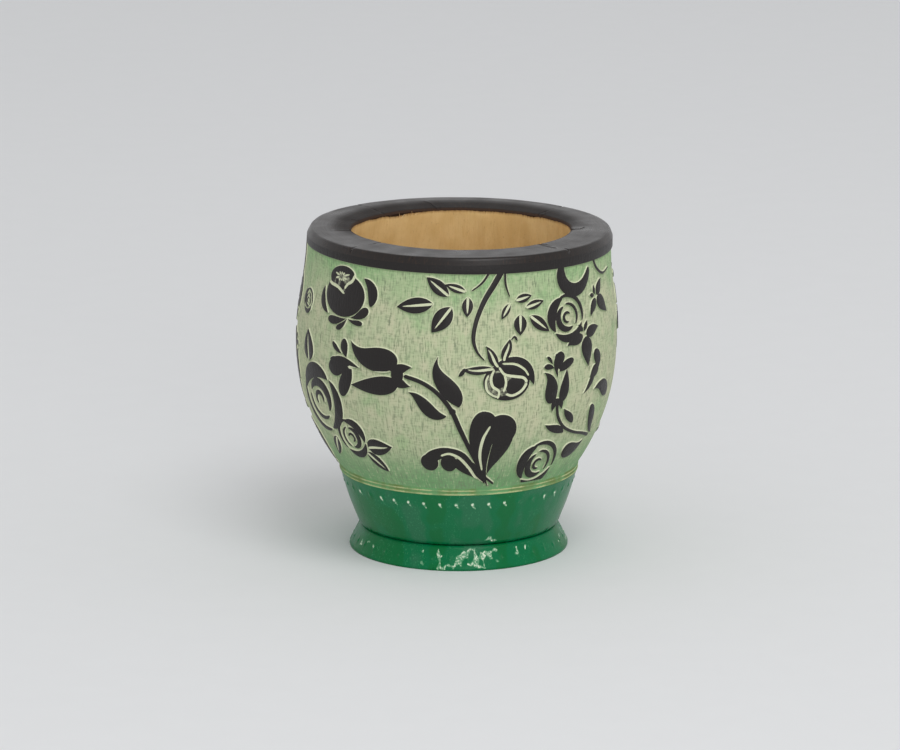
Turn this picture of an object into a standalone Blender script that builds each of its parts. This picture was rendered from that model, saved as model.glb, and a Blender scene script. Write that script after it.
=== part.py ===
"""An empty mate gourd cup: a thick calabash vessel with a carved floral skin, a plain rim band
and a coned lower band, glued on a flared turned foot. Metres, +Z up, the cup stands on z = 0
and its front faces -Y."""

import math

import bmesh
import bpy
import numpy as np
from mathutils.geometry import delaunay_2d_cdt

MM = 0.001

# Heights above the table
FOOT_HEIGHT = 6.5 * MM
GLUE_GAP = 0.3 * MM
RIDGE_FOOT = 22.2 * MM
CARVING_FOOT = 24.3 * MM
BELLY_HEIGHT = 61.0 * MM
RIM_BAND_FOOT = 87.1 * MM
CHAMFER_FOOT = 89.3 * MM
HEIGHT = 91.2 * MM
BOWL_TOP = 44.0 * MM
CAVITY_FLOOR = 14.0 * MM

# Radii
FOOT_RADIUS = 31.1 * MM
WAIST_RADIUS = 27.6 * MM
CONE_TOP_RADIUS = 33.4 * MM
RIDGE_RADIUS = 33.6 * MM
CARVING_FOOT_RADIUS = 34.0 * MM
BELLY_RADIUS = 45.0 * MM
RIM_RADIUS = 42.3 * MM
CHAMFER_RADIUS = 41.2 * MM
MOUTH_RADIUS = 30.35 * MM
CAVITY_RADIUS = 33.0 * MM

# The gourd leans a little to the left between its foot and its rim
LEAN = 0.7 * MM

# Below its widest point the belly falls away by this power, above it the shoulder eases upright.
# The coned band under the ridge swells a little at half its height.
BELLY_CURVE = 2.3
SHOULDER_RISE = 30.0 * MM
SHOULDER_DRAW_IN = 2.7 * MM
CONE_SWELL = 0.4 * MM

# Carving: the ground is cut this far below the skin, with walls this wide
CARVING_DEPTH = 0.45 * MM
WALL_WIDTH = 0.3 * MM

EDGE_ROUND = 0.4 * MM
SEGMENTS = 60

# The ornament is drawn flat in millimetres: x along the girth of a drum of this radius, with 0 at
# the front and +x to the right, and y up from the table
DRUM_RADIUS = 44.0
HALF_GIRTH = math.pi * DRUM_RADIUS
SKIN_FOOT = CARVING_FOOT / MM - 0.5
SKIN_TOP = CHAMFER_FOOT / MM
WALL = WALL_WIDTH / MM
POINT_SPACING = 3.2
LEAST_STATIONS = 5
LEAST_OUTLINE_AREA = 9.0
EDGE_CLEARANCE = 0.9
LATTICE_STEP = 6.2
LATTICE_CLEARANCE = 1.1
SAME_PLACE = 1.0e-3

GROUND_COLOUR = (0.40, 0.50, 0.25, 1.0)
FOOT_COLOUR = (0.012, 0.16, 0.075, 1.0)


def stations(length):
    """Places from 0 to 1 along a line, closer together at its ends."""
    count = max(LEAST_STATIONS, round(length / POINT_SPACING) + 1)
    return (1.0 - np.cos(np.pi * np.linspace(0.0, 1.0, count))) / 2.0


def swell(t, ends):
    """A leaf's width along it, 1 at its fullest; an end with a power under 1 is blunt."""
    first, last = ends
    fullest = first / (first + last)
    return t**first * (1.0 - t) ** last / (fullest**first * (1.0 - fullest) ** last)


def ribbon(path, half_width):
    """The outline of a line that comes to a point at both ends."""
    along = np.gradient(path, axis=0)
    along /= np.linalg.norm(along, axis=1)[:, None]
    across = np.column_stack((-along[:, 1], along[:, 0])) * half_width[:, None]
    return np.vstack((path + across, (path - across)[-2:0:-1]))


def blade(base, tip, width, bends=(0.0, 0.0), ends=(1.0, 1.0)):
    """A leaf or petal; its bends push it to the left by that share of its length."""
    base = np.array(base, float)
    chord = np.array(tip, float) - base
    side = np.array((-chord[1], chord[0]))
    t = stations(np.linalg.norm(chord))
    u = t[:, None]
    bow = 3.0 * u * (1.0 - u) * ((1.0 - u) * bends[0] + u * bends[1])
    return ribbon(base + chord * u + side * bow, width / 2.0 * swell(t, ends))


def crescent(centre, radius, width, start, end, ends):
    """A petal bent round a centre, between two angles in degrees."""
    first, last = math.radians(start), math.radians(end)
    t = stations(abs(last - first) * radius)
    turn = first + (last - first) * t
    path = np.array(centre, float) + radius * np.column_stack((np.cos(turn), np.sin(turn)))
    return ribbon(path, width / 2.0 * swell(t, ends))


def oval(centre, radii, tilt=0.0):
    count = max(8, round(2.0 * math.pi * max(radii) / POINT_SPACING))
    turn = np.linspace(0.0, 2.0 * np.pi, count, endpoint=False)
    flat = np.column_stack((radii[0] * np.cos(turn), radii[1] * np.sin(turn)))
    return np.array(centre, float) + turned(flat, tilt)


def turned(points, degrees):
    angle = math.radians(degrees)
    c, s = math.cos(angle), math.sin(angle)
    return points @ np.array(((c, s), (-s, c)))


def smooth_path(points, count):
    """A smooth curve through the points, by the Catmull-Rom rule."""
    p = np.array(points, float)
    p = np.vstack((2.0 * p[0] - p[1], p, 2.0 * p[-1] - p[-2]))
    spans = len(p) - 3
    at = np.linspace(0.0, spans, count)
    i = np.minimum(at.astype(int), spans - 1)
    t = (at - i)[:, None]
    a, b, c, d = p[i], p[i + 1], p[i + 2], p[i + 3]
    bend = (2.0 * a - 5.0 * b + 4.0 * c - d) * t**2 + (3.0 * b - a - 3.0 * c + d) * t**3
    return b + 0.5 * ((c - a) * t + bend)


def stroke(points, widths):
    """A stem of changing width, with pointed ends."""
    length = np.linalg.norm(np.diff(np.array(points, float), axis=0), axis=1).sum()
    path = smooth_path(points, max(LEAST_STATIONS, round(length / POINT_SPACING) + 1))
    t = np.linspace(0.0, 1.0, len(path))
    half_width = np.interp(t, np.linspace(0.0, 1.0, len(widths)), widths) / 2.0
    half_width[[0, -1]] = 0.0
    return ribbon(path, half_width)


def placed(shapes, at, turn=0.0, size=1.0, mirror=False):
    """A motif's outlines, mirrored left to right, scaled, turned in degrees and moved."""
    flip = np.array((-size if mirror else size, size))
    return [np.array(at, float) + turned(shape * flip, turn) for shape in shapes]


def rosebud():
    return [
        oval((0.3, 1.2), (7.7, 5.8)),
        oval((-1.2, 6.0), (5.1, 2.9), 8.0),
        blade((-8.6, 2.2), (-5.6, -4.6), 2.1, (-0.28, -0.28), (0.8, 0.8)),
        blade((7.4, 6.6), (10.2, -0.6), 3.1, (0.3, 0.3), (0.8, 0.6)),
        blade((2.2, -5.0), (-5.0, -5.8), 2.2, (0.08, 0.12), (1.2, 0.5)),
        blade((2.6, -5.0), (-1.2, -8.0), 1.5, (0.1, 0.15), (1.3, 0.5)),
        blade((3.9, -4.4), (9.6, -1.4), 2.5, (-0.14, -0.1), (1.3, 0.5)),
        blade((3.0, -4.9), (8.2, -5.7), 1.4, (-0.12, 0.0), (1.3, 0.5)),
    ]


def rose(radius):
    """Petals as crescents: radius and width as shares of the rose's, then two angles."""
    petals = (
        (0.80, 0.42, 104.0, 218.0),
        (0.84, 0.32, 222.0, 338.0),
        (0.86, 0.16, -16.0, 114.0),
        (0.47, 0.26, 112.0, 305.0),
        (0.53, 0.12, -36.0, 96.0),
    )
    return [
        crescent((0.0, 0.0), radius * reach, radius * width, start, end, (0.7, 0.7))
        for reach, width, start, end in petals
    ]


def tulip():
    """An open tulip that points left, with its base at the origin."""
    return [
        blade((0.2, 3.5), (-14.4, 7.9), 6.8, (0.02, 0.3), (0.5, 1.05)),
        blade((0.2, -2.1), (-14.4, -4.3), 5.2, (0.06, 0.02), (0.5, 1.05)),
        oval((0.2, 0.4), (1.7, 2.7)),
        blade((-0.6, 1.6), (4.3, 2.6), 2.7, (0.0, 0.1), (0.5, 1.2)),
        blade((-0.6, -1.4), (3.8, -2.7), 2.7, (0.0, -0.1), (0.5, 1.2)),
        blade((-22.2, -1.9), (-11.6, 0.9), 5.2, (0.22, 0.18), (0.45, 1.3)),
        blade((-14.9, 1.6), (-18.2, -8.2), 4.0, (0.1, -0.05), (0.7, 0.5)),
        blade((-16.0, 3.2), (-16.9, 8.2), 2.5, (0.1, 0.1), (0.9, 0.6)),
        blade((-17.9, 4.0), (-21.5, 6.7), 1.4, (0.1, 0.1), (1.0, 0.6)),
    ]


def heart_leaf():
    return [
        blade((0.9, -3.4), (-1.2, 20.6), 7.4, (0.16, 0.12), (1.5, 0.42)),
        oval((2.9, 14.9), (4.6, 4.6)),
        blade((-0.2, 1.0), (4.6, 17.0), 5.4, (0.04, -0.12), (1.3, 0.6)),
    ]


def scalloped_leaf():
    arch = ((0.3, 0.2), (-3.6, 4.4), (-7.6, 9.1), (-12.0, 10.3), (-16.2, 9.0), (-18.6, 6.6))
    return [
        stroke(arch, (0.4, 1.7, 2.1, 2.4, 3.4, 3.6)),
        oval((-17.6, 6.9), (2.7, 2.6)),
        oval((-11.6, 6.8), (2.5, 2.6)),
        blade((0.2, -0.2), (-10.4, 7.2), 4.4, (-0.12, -0.14), (1.2, 0.6)),
    ]


def tulip_spray():
    """A tulip on a bending stem with two blades, a heart leaf and a scalloped leaf."""
    upper_stem = ((-14.5, 58.6), (-9.5, 57.0), (-5.2, 54.0), (-1.6, 49.2))
    lower_stem = ((1.0, 43.0), (4.2, 36.0), (8.0, 29.2), (12.2, 25.7))
    return (
        placed(tulip(), (-16.6, 58.4))
        + [
            stroke(upper_stem + lower_stem, (1.0, 1.1, 1.3, 1.0, 0.5)),
            blade((0.4, 50.2), (-5.2, 64.3), 4.9, (-0.1, 0.3), (0.75, 1.3)),
            blade((-3.0, 47.5), (-13.2, 54.0), 3.5, (0.3, -0.12), (0.8, 1.1)),
        ]
        + placed(heart_leaf(), (9.5, 28.0))
        + placed(scalloped_leaf(), (8.8, 26.2))
    )


def peony():
    return [
        oval((-0.2, -0.2), (6.5, 5.3), -4.0),
        blade((-3.4, 4.6), (7.6, -1.6), 3.6, (0.32, 0.36), (0.7, 0.8)),
    ]


def peony_spray():
    """A nodding peony on a stem from the rim, between two sprigs of small leaves."""
    small_leaves = (
        ((-2.9, 80.9), (-9.2, 85.8), 3.6),
        ((1.8, 82.1), (-3.9, 84.0), 2.2),
        ((-7.2, 78.6), (-17.4, 77.3), 4.2),
        ((-2.0, 77.8), (-7.1, 71.0), 4.9),
        ((2.5, 80.5), (2.4, 75.3), 3.0),
        ((16.2, 79.2), (21.0, 80.2), 2.3),
        ((19.2, 77.0), (24.8, 78.4), 2.3),
        ((14.4, 78.4), (12.0, 74.4), 2.0),
        ((17.4, 75.2), (17.3, 69.7), 3.7),
        ((20.4, 74.6), (26.2, 69.9), 3.2),
        ((9.8, 60.8), (1.4, 61.0), 2.3),
        ((11.0, 61.3), (7.6, 67.2), 2.4),
        ((12.6, 62.9), (14.2, 68.8), 2.5),
    )
    upper_stem = ((12.7, 89.0), (10.0, 84.2), (7.0, 79.3), (4.9, 74.0))
    lower_stem = ((4.2, 69.3), (5.2, 65.8), (7.2, 63.3))
    return (
        [blade(base, tip, width, ends=(0.8, 1.0)) for base, tip, width in small_leaves]
        + [stroke(upper_stem + lower_stem, (1.7, 1.5, 1.2, 1.0, 0.2))]
        + placed(peony(), (13.7, 57.2))
    )


def leaf_star():
    return [
        blade((0.6, -0.8), (1.8, -9.4), 4.6, ends=(0.6, 1.2)),
        blade((0.9, 0.2), (6.9, 1.0), 3.2, (-0.1, 0.1), (0.6, 1.1)),
        blade((-0.8, 0.0), (-6.8, -2.2), 3.0, (0.1, -0.1), (0.6, 1.1)),
    ]


def scroll_leaf():
    return [
        blade((0.2, 0.2), (4.4, 5.6), 1.9, (-0.12, -0.1), (1.2, 0.6)),
        blade((2.6, 4.4), (6.2, 7.6), 3.2, (-0.1, -0.1), (0.8, 0.6)),
        blade((5.6, 5.4), (4.2, 11.6), 3.2, (-0.25, -0.3), (1.0, 0.5)),
    ]


def rose_cluster():
    """A rosebud over a large and a small rose, with leaves."""
    return (
        placed(rosebud(), (-36.0, 77.0))
        + placed(rose(10.3), (-45.8, 47.2), 90.0, mirror=True)
        + placed(rose(6.1), (-34.6, 37.8), 30.0, mirror=True)
        + placed(rose(3.6), (-54.0, 73.5))
        + [
            blade((-50.2, 57.5), (-51.3, 66.0), 6.0, ends=(0.6, 1.0)),
            blade((-28.8, 35.6), (-20.2, 37.0), 4.9, (0.06, -0.06), (0.5, 1.0)),
            blade((-29.9, 34.0), (-24.0, 28.8), 3.4, ends=(0.6, 0.8)),
            blade((-42.5, 36.5), (-46.5, 30.5), 3.2, ends=(0.6, 1.0)),
        ]
    )


def garland():
    """Roses, a small tulip and scrolling leaves under a crescent that hangs from the rim."""
    stem = ((29.4, 48.6), (30.6, 44.6), (33.6, 41.2), (38.4, 38.9), (44.0, 37.4), (48.5, 36.0))
    return (
        placed(rose(7.0), (32.8, 72.8))
        + placed(rose(7.7), (27.0, 30.8), 4.0)
        + placed(leaf_star(), (39.2, 67.0))
        + placed(leaf_star(), (46.2, 76.4), 38.0, 0.85)
        + placed(tulip(), (29.6, 49.4), 90.0, 0.62, mirror=True)
        + placed(scroll_leaf(), (39.6, 49.8))
        + [
            crescent((36.9, 85.7), 5.9, 3.7, 158.0, 356.0, (0.4, 0.5)),
            stroke(stem, (0.9, 0.8, 0.7, 0.9)),
            blade((36.8, 42.0), (32.5, 46.8), 2.2, (-0.1, 0.1), (0.7, 1.0)),
            blade((33.8, 39.6), (26.4, 42.9), 2.3, (-0.1, 0.1), (0.7, 1.0)),
            blade((46.0, 35.0), (36.4, 33.4), 4.6, (0.22, 0.1), (1.2, 0.5)),
            blade((50.0, 36.5), (44.6, 45.6), 3.2, (0.25, -0.1), (1.2, 0.6)),
            blade((45.0, 50.2), (54.0, 46.8), 4.2, (0.3, 0.2), (1.2, 0.6)),
        ]
    )


def floral_ornament():
    """The motifs all round: the front, and the back made of the same sprays, mirrored."""
    return (
        rose_cluster()
        + tulip_spray()
        + peony_spray()
        + garland()
        + placed(tulip_spray() + peony_spray(), (94.0, 0.0), mirror=True)
        + placed(rosebud(), (127.0, 76.0), mirror=True)
        + placed(rose(3.6), (67.0, 66.0), 150.0)
        + placed(leaf_star(), (72.0, 33.0), 160.0, 0.9)
        + placed(garland(), (-36.0, 0.0), mirror=True)
        + placed(rose_cluster(), (-150.0, 0.0), mirror=True)
        + placed(leaf_star(), (-131.5, 62.0), 20.0, 0.8)
        + placed(rose(5.0), (-131.5, 46.0), 200.0)
        + placed(leaf_star(), (-131.0, 33.5), 0.0, 0.8)
    )


def area(outline):
    x, y = outline.T
    return 0.5 * float(np.sum(x * np.roll(y, -1) - np.roll(x, -1) * y))


def bands():
    """The skin left whole under the rim and along the ridge, as outlines larger than the drawing."""
    side = 2.0 * HALF_GIRTH
    spans = ((RIM_BAND_FOOT / MM, 2.0 * SKIN_TOP), (0.0, CARVING_FOOT / MM))
    return [np.array(((-side, low), (side, low), (side, high), (-side, high))) for low, high in spans]


def carved_outlines():
    """The ornament's outlines, counterclockwise, kept within the skin and off its back seam."""
    kept = []
    side = HALF_GIRTH - EDGE_CLEARANCE
    lowest = CARVING_FOOT / MM + EDGE_CLEARANCE
    highest = SKIN_TOP - EDGE_CLEARANCE
    for drawn in floral_ornament():
        outline = np.clip(drawn, (-side, lowest), (side, highest))
        if abs(area(outline)) >= LEAST_OUTLINE_AREA:
            kept.append(outline if area(outline) > 0.0 else outline[::-1])
    return kept


def grown(outline, distance):
    """A counterclockwise outline moved outward, with its corners held short of long spikes."""
    after = np.roll(outline, -1, axis=0) - outline
    after /= np.linalg.norm(after, axis=1)[:, None]
    normal_after = np.column_stack((after[:, 1], -after[:, 0]))
    normal_before = np.roll(normal_after, 1, axis=0)
    both = normal_after + normal_before
    openness = np.maximum(1.0 + (normal_after * normal_before).sum(axis=1), 0.5)
    return outline + both * distance / openness[:, None]


def depth_inside(points, outline):
    """How far each point lies inside an outline, negative outside it."""
    start, end = outline, np.roll(outline, -1, axis=0)
    edge = end - start
    away = points[:, None, :] - start[None]
    along = np.clip((away * edge).sum(axis=2) / (edge**2).sum(axis=1), 0.0, 1.0)
    gap = np.linalg.norm(away - along[..., None] * edge, axis=2).min(axis=1)
    level = points[:, 1:2]
    crosses = (start[:, 1] > level) != (end[:, 1] > level)
    rise = np.where(edge[:, 1] == 0.0, 1.0, edge[:, 1])
    crossing = start[:, 0] + (level - start[:, 1]) / rise * edge[:, 0]
    inside = (crosses & (points[:, 0:1] < crossing)).sum(axis=1) % 2 == 1
    return np.where(inside, gap, -gap)


def depth_in_ornament(points, outlines):
    """How far each point lies inside the nearest raised shape, negative on the ground."""
    depth = np.full(len(points), -HALF_GIRTH)
    for outline in outlines:
        low = outline.min(axis=0) - LATTICE_STEP
        high = outline.max(axis=0) + LATTICE_STEP
        near = np.all((points > low) & (points < high), axis=1)
        if near.any():
            depth[near] = np.maximum(depth[near], depth_inside(points[near], outline))
    return depth


def skin_radius(z):
    """The uncut gourd's radius from the ridge up to the rim."""
    below = np.clip((BELLY_HEIGHT - z) / (BELLY_HEIGHT - CARVING_FOOT), 0.0, None)
    above = np.clip((z - BELLY_HEIGHT) / SHOULDER_RISE, 0.0, 1.0)
    drop_below = (BELLY_RADIUS - CARVING_FOOT_RADIUS) * below**BELLY_CURVE
    drop_above = SHOULDER_DRAW_IN * (1.0 - np.cos(np.pi * above)) / 2.0
    return BELLY_RADIUS - drop_below - drop_above


def lean(z):
    """How far right of the belly's axis the gourd's centre lies at a height."""
    share = np.clip((z - RIDGE_FOOT) / (HEIGHT - RIDGE_FOOT), 0.0, 1.0)
    return LEAN * (1.0 - np.sin(np.pi * share))


def on_gourd(angle, z, radius):
    """Points of the gourd by angle from the front, height and radius."""
    return np.column_stack((lean(z) + radius * np.sin(angle), -radius * np.cos(angle), z))


def closed_line(start, count):
    return [(start + i, start + (i + 1) % count) for i in range(count)]


def lattice(outlines):
    """Plain points over the unrolled skin: a frame round its edge and a grid clear of outlines."""
    columns = np.linspace(-HALF_GIRTH, HALF_GIRTH, SEGMENTS + 1)
    rows = np.linspace(SKIN_FOOT, SKIN_TOP, round((SKIN_TOP - SKIN_FOOT) / LATTICE_STEP) + 1)
    frame = [(x, rows[0]) for x in columns[:-1]]
    frame += [(columns[-1], y) for y in rows[:-1]]
    frame += [(x, rows[-1]) for x in columns[:0:-1]]
    frame += [(columns[0], y) for y in rows[:0:-1]]
    grid = np.array([(x, y) for x in columns[1:-1] for y in rows[1:-1]])
    clear = np.abs(depth_in_ornament(grid, outlines)) > LATTICE_CLEARANCE
    return frame, grid[clear]


def carved_skin():
    """The carved zone, unrolled: its points, their depth in the ornament and its triangles."""
    outlines = carved_outlines()
    raised = outlines + bands()
    frame, grid = lattice(raised)
    points = frame + [tuple(p) for p in grid]
    edges = closed_line(0, len(frame))
    for outline in outlines:
        for line in (outline, grown(outline, WALL)):
            edges += closed_line(len(points), len(line))
            points += [tuple(p) for p in line]
    rim_edge, ridge_edge = RIM_BAND_FOOT / MM, CARVING_FOOT / MM
    for height in (rim_edge, rim_edge - WALL, ridge_edge, ridge_edge + WALL):
        edges += [(len(points) + i, len(points) + i + 1) for i in range(SEGMENTS)]
        points += [(x, height) for x in np.linspace(-HALF_GIRTH, HALF_GIRTH, SEGMENTS + 1)]
    flat, _, triangles, _, _, _ = delaunay_2d_cdt(points, edges, [], 0, SAME_PLACE)
    flat = np.array([tuple(p) for p in flat])
    return flat, depth_in_ornament(flat, raised), triangles


def lower_profile():
    """The ridge's foot and the coned band, from the carved zone down, as (height, radius)."""
    waist = FOOT_HEIGHT + GLUE_GAP
    middle_radius = (CONE_TOP_RADIUS + WAIST_RADIUS) / 2.0 + CONE_SWELL
    return [
        (RIDGE_FOOT + EDGE_ROUND / 2.0, RIDGE_RADIUS),
        (RIDGE_FOOT, CONE_TOP_RADIUS),
        ((RIDGE_FOOT + waist) / 2.0, middle_radius),
        (waist + EDGE_ROUND, WAIST_RADIUS),
        (waist, WAIST_RADIUS - EDGE_ROUND),
    ]


def rim_profile():
    """The chamfered rim and its flat top, from the carved zone up and in to the mouth."""
    return [
        ((CHAMFER_FOOT + HEIGHT) / 2.0, (RIM_RADIUS + CHAMFER_RADIUS) / 2.0 + EDGE_ROUND / 2.0),
        (HEIGHT, CHAMFER_RADIUS),
        (HEIGHT, MOUTH_RADIUS + EDGE_ROUND),
        (HEIGHT - EDGE_ROUND, MOUTH_RADIUS),
    ]


def cavity_profile():
    """The hollow: drawn in at the mouth, widest where its round bottom begins."""
    rows = []
    for share in (0.75, 0.5, 0.25, 0.0):
        swelling = (CAVITY_RADIUS - MOUTH_RADIUS) * math.cos(math.pi / 2.0 * share)
        rows.append((BOWL_TOP + (HEIGHT - BOWL_TOP) * share, MOUTH_RADIUS + swelling))
    for degrees in (20.0, 38.0, 54.0, 68.0, 80.0):
        angle = math.radians(degrees)
        drop = (BOWL_TOP - CAVITY_FLOOR) * math.sin(angle)
        rows.append((BOWL_TOP - drop, CAVITY_RADIUS * math.cos(angle)))
    return rows


def add_rings(points, faces, first_ring, profile, end_height):
    """Joins rings on to an edge of the skin and closes them with a fan at the centre."""
    angles = np.linspace(-np.pi, np.pi, SEGMENTS, endpoint=False)
    last = first_ring
    for z, radius in profile:
        ring = list(range(len(points), len(points) + SEGMENTS))
        points.extend(on_gourd(angles, np.full(SEGMENTS, z), radius))
        faces.extend(ring_faces(last, ring))
        last = ring
    centre = len(points)
    points.append((float(lean(end_height)), 0.0, end_height))
    faces.extend((last[i], last[(i + 1) % SEGMENTS], centre) for i in range(SEGMENTS))


def ring_faces(one, other):
    after = [(i + 1) % SEGMENTS for i in range(SEGMENTS)]
    return [(one[i], one[j], other[j], other[i]) for i, j in enumerate(after)]


def seam_closed(flat):
    """The point that each stands for once the flat skin's right edge lies on its left one."""
    stands_for = list(range(len(flat)))
    left = [i for i, (x, y) in enumerate(flat) if x < SAME_PLACE - HALF_GIRTH]
    for i, (x, y) in enumerate(flat):
        if x > HALF_GIRTH - SAME_PLACE:
            stands_for[i] = min(left, key=lambda other: abs(flat[other][1] - y))
    return stands_for


def edge_ring(flat, height):
    """The skin's points along its upper or lower edge, from the back seam round to it."""
    row = [(x, i) for i, (x, y) in enumerate(flat) if abs(y - height) < SAME_PLACE]
    return [i for x, i in sorted(row)[:SEGMENTS]]


def gourd_mesh():
    """The vessel as one closed skin: carved zone, lower band, rim and hollow."""
    flat, depth, triangles = carved_skin()
    height = flat[:, 1] * MM
    raised = np.clip(1.0 + depth / WALL, 0.0, 1.0)
    radius = skin_radius(height) - CARVING_DEPTH * (1.0 - raised)
    points = list(on_gourd(flat[:, 0] / DRUM_RADIUS, height, radius))
    stands_for = seam_closed(flat)
    faces = [tuple(stands_for[i] for i in triangle) for triangle in triangles]
    add_rings(points, faces, edge_ring(flat, SKIN_FOOT), lower_profile(), FOOT_HEIGHT + GLUE_GAP)
    add_rings(points, faces, edge_ring(flat, SKIN_TOP), rim_profile() + cavity_profile(), CAVITY_FLOOR)
    return points, faces


def foot_profile():
    """The flared foot from its top face down to the table, as (height, radius)."""
    flare_top = FOOT_HEIGHT - EDGE_ROUND
    rows = [(FOOT_HEIGHT, WAIST_RADIUS - EDGE_ROUND), (flare_top, WAIST_RADIUS)]
    for share in (0.3, 0.6, 0.85, 1.0):
        spread = (FOOT_RADIUS - WAIST_RADIUS) * math.sin(math.pi / 2.0 * share)
        rows.append((flare_top - (flare_top - EDGE_ROUND) * share, WAIST_RADIUS + spread))
    rows.append((0.0, FOOT_RADIUS - EDGE_ROUND))
    return rows


def foot_mesh():
    """The foot as a turned solid with flat ends."""
    angles = np.linspace(-np.pi, np.pi, SEGMENTS, endpoint=False)
    points = []
    rings = []
    for z, radius in foot_profile():
        rings.append(list(range(len(points), len(points) + SEGMENTS)))
        around = np.column_stack((radius * np.sin(angles), -radius * np.cos(angles)))
        points.extend((LEAN + x, y, z) for x, y in around)
    faces = [face for one, other in zip(rings, rings[1:]) for face in ring_faces(one, other)]
    faces += [tuple(rings[0]), tuple(rings[-1])]
    return points, faces


def plain_material(name, colour, roughness):
    material = bpy.data.materials.new(name)
    material.use_nodes = True
    shader = material.node_tree.nodes["Principled BSDF"]
    shader.inputs["Base Color"].default_value = colour
    shader.inputs["Roughness"].default_value = roughness
    shader.inputs["Metallic"].default_value = 0.0
    return material


def add_piece(name, points, faces, material, sharp_degrees):
    mesh = bpy.data.meshes.new(name)
    mesh.from_pydata([tuple(p) for p in points], [], faces)
    work = bmesh.new()
    work.from_mesh(mesh)
    bmesh.ops.delete(work, geom=[v for v in work.verts if not v.link_faces], context="VERTS")
    bmesh.ops.recalc_face_normals(work, faces=work.faces)
    work.to_mesh(mesh)
    work.free()
    mesh.shade_smooth()
    mesh.set_sharp_from_angle(angle=math.radians(sharp_degrees))
    mesh.materials.append(material)
    piece = bpy.data.objects.new(name, mesh)
    bpy.context.scene.collection.objects.link(piece)
    return piece


def main():
    for old in list(bpy.data.objects):
        bpy.data.objects.remove(old)
    skin = plain_material("carved_gourd", GROUND_COLOUR, 0.6)
    paint = plain_material("green_paint", FOOT_COLOUR, 0.3)
    add_piece("gourd", *gourd_mesh(), skin, 30.0)
    add_piece("foot", *foot_mesh(), paint, 30.0)


main()
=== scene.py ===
"""The looks of an empty mate gourd cup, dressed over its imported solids.

The gourd wears four skins that meet edge to edge: the painted band below, the carved and dyed
side with its ridge and rim band, the stained rim and the bare inside. The foot is a skin of its
own. A skin is drawn flat in millimetres, x along the girth of a drum with 0 at the front and y
along its turned outline, cut into triangles and wrapped round the cup.
"""

import math

import bpy
import numpy as np
from mathutils import Matrix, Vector
from mathutils.geometry import delaunay_2d_cdt


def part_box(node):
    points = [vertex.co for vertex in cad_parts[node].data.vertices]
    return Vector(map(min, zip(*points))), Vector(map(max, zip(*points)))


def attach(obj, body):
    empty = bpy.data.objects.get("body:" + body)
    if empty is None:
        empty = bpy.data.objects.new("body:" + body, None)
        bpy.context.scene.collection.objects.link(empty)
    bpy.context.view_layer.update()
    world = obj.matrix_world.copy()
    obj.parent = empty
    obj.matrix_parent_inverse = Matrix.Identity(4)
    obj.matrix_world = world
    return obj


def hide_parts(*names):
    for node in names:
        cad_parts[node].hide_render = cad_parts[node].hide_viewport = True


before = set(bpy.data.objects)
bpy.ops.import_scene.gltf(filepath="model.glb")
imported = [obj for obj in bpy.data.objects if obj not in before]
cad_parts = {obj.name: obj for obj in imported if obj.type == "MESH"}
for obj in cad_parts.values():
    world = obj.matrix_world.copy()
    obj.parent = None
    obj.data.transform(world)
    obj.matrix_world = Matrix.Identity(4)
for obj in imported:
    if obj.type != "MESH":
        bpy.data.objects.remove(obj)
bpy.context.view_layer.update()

MM = 0.001

# The drum that every skin is unrolled from
DRUM_RADIUS = 44.0
HALF_GIRTH = math.pi * DRUM_RADIUS
GIRTH = 2.0 * HALF_GIRTH

# Heights above the table
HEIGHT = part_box("gourd")[1].z / MM
GOURD_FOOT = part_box("gourd")[0].z / MM
FOOT_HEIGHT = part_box("foot")[1].z / MM
RIDGE_FOOT = 22.2
RIDGE_TOP = 24.3
BELLY_HEIGHT = 61.0
RIM_BAND_FOOT = 87.1
CHAMFER_FOOT = 89.3
STAIN_FOOT = 90.5
BOWL_TOP = 44.0
CAVITY_FLOOR = 14.0

# Radii
FOOT_RADIUS = 31.1
WAIST_RADIUS = 28.1
CONE_TOP_RADIUS = 33.4
RIDGE_RADIUS = 34.0
BELLY_RADIUS = 45.2
CHAMFER_RADIUS = 41.8
MOUTH_RADIUS = 30.6
CAVITY_RADIUS = 33.0

# The gourd leans a little to the left between its foot and its rim. The rim was sawn on a slight
# slope, and its mouth is cut a little off centre.
FOOT_LEAN = 0.7
RIM_LEAN = 1.05
RIM_SLOPE = 0.008
MOUTH_ASIDE = 0.3

# At the back the rim's top falls away towards the mouth
BEVEL_RADIUS = 37.8
BEVEL_DROP = 1.0
BEVEL_REACH = 12.0

# The belly falls away by this power below its widest point; above it the shoulder draws in.
# The coned band swells a little at half its height.
BELLY_CURVE = 2.3
SHOULDER_RISE = 30.0
SHOULDER_DRAW_IN = 2.9
RIM_FLARE = 0.35
FLARE_FOOT = 81.0
CONE_SWELL = 0.4
EDGE_ROUND = 0.4
FOOT_EDGE = 0.15

# Carving
CARVING_DEPTH = 0.4
WALL = 0.24
GROOVE_DEPTH = 0.28
GROOVE_WALL = 0.2
EDGE_WEAR = 0.05
EDGE_WEAR_WIDTH = 0.12
OUTLINE_OFFSETS = (-0.12, 0.0, 0.12, 0.24, 0.42)
FAR = 3.0
# The direction the carving's painted light comes from: a raised edge facing it gets a painted highlight beside it,
# and one facing away gets painted shade
LIT_SIDE = np.array((0.55, 0.83))

POINT_SPACING = 0.5
LEAST_STATIONS = 7
SAME_PLACE = 1.0e-3
SEAM_CLEARANCE = 0.9
BORDER_COLUMNS = 360
POLE_COLUMNS = 8
LATTICE_STEP = 1.3
LATTICE_CLEARANCE = 0.45


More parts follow.
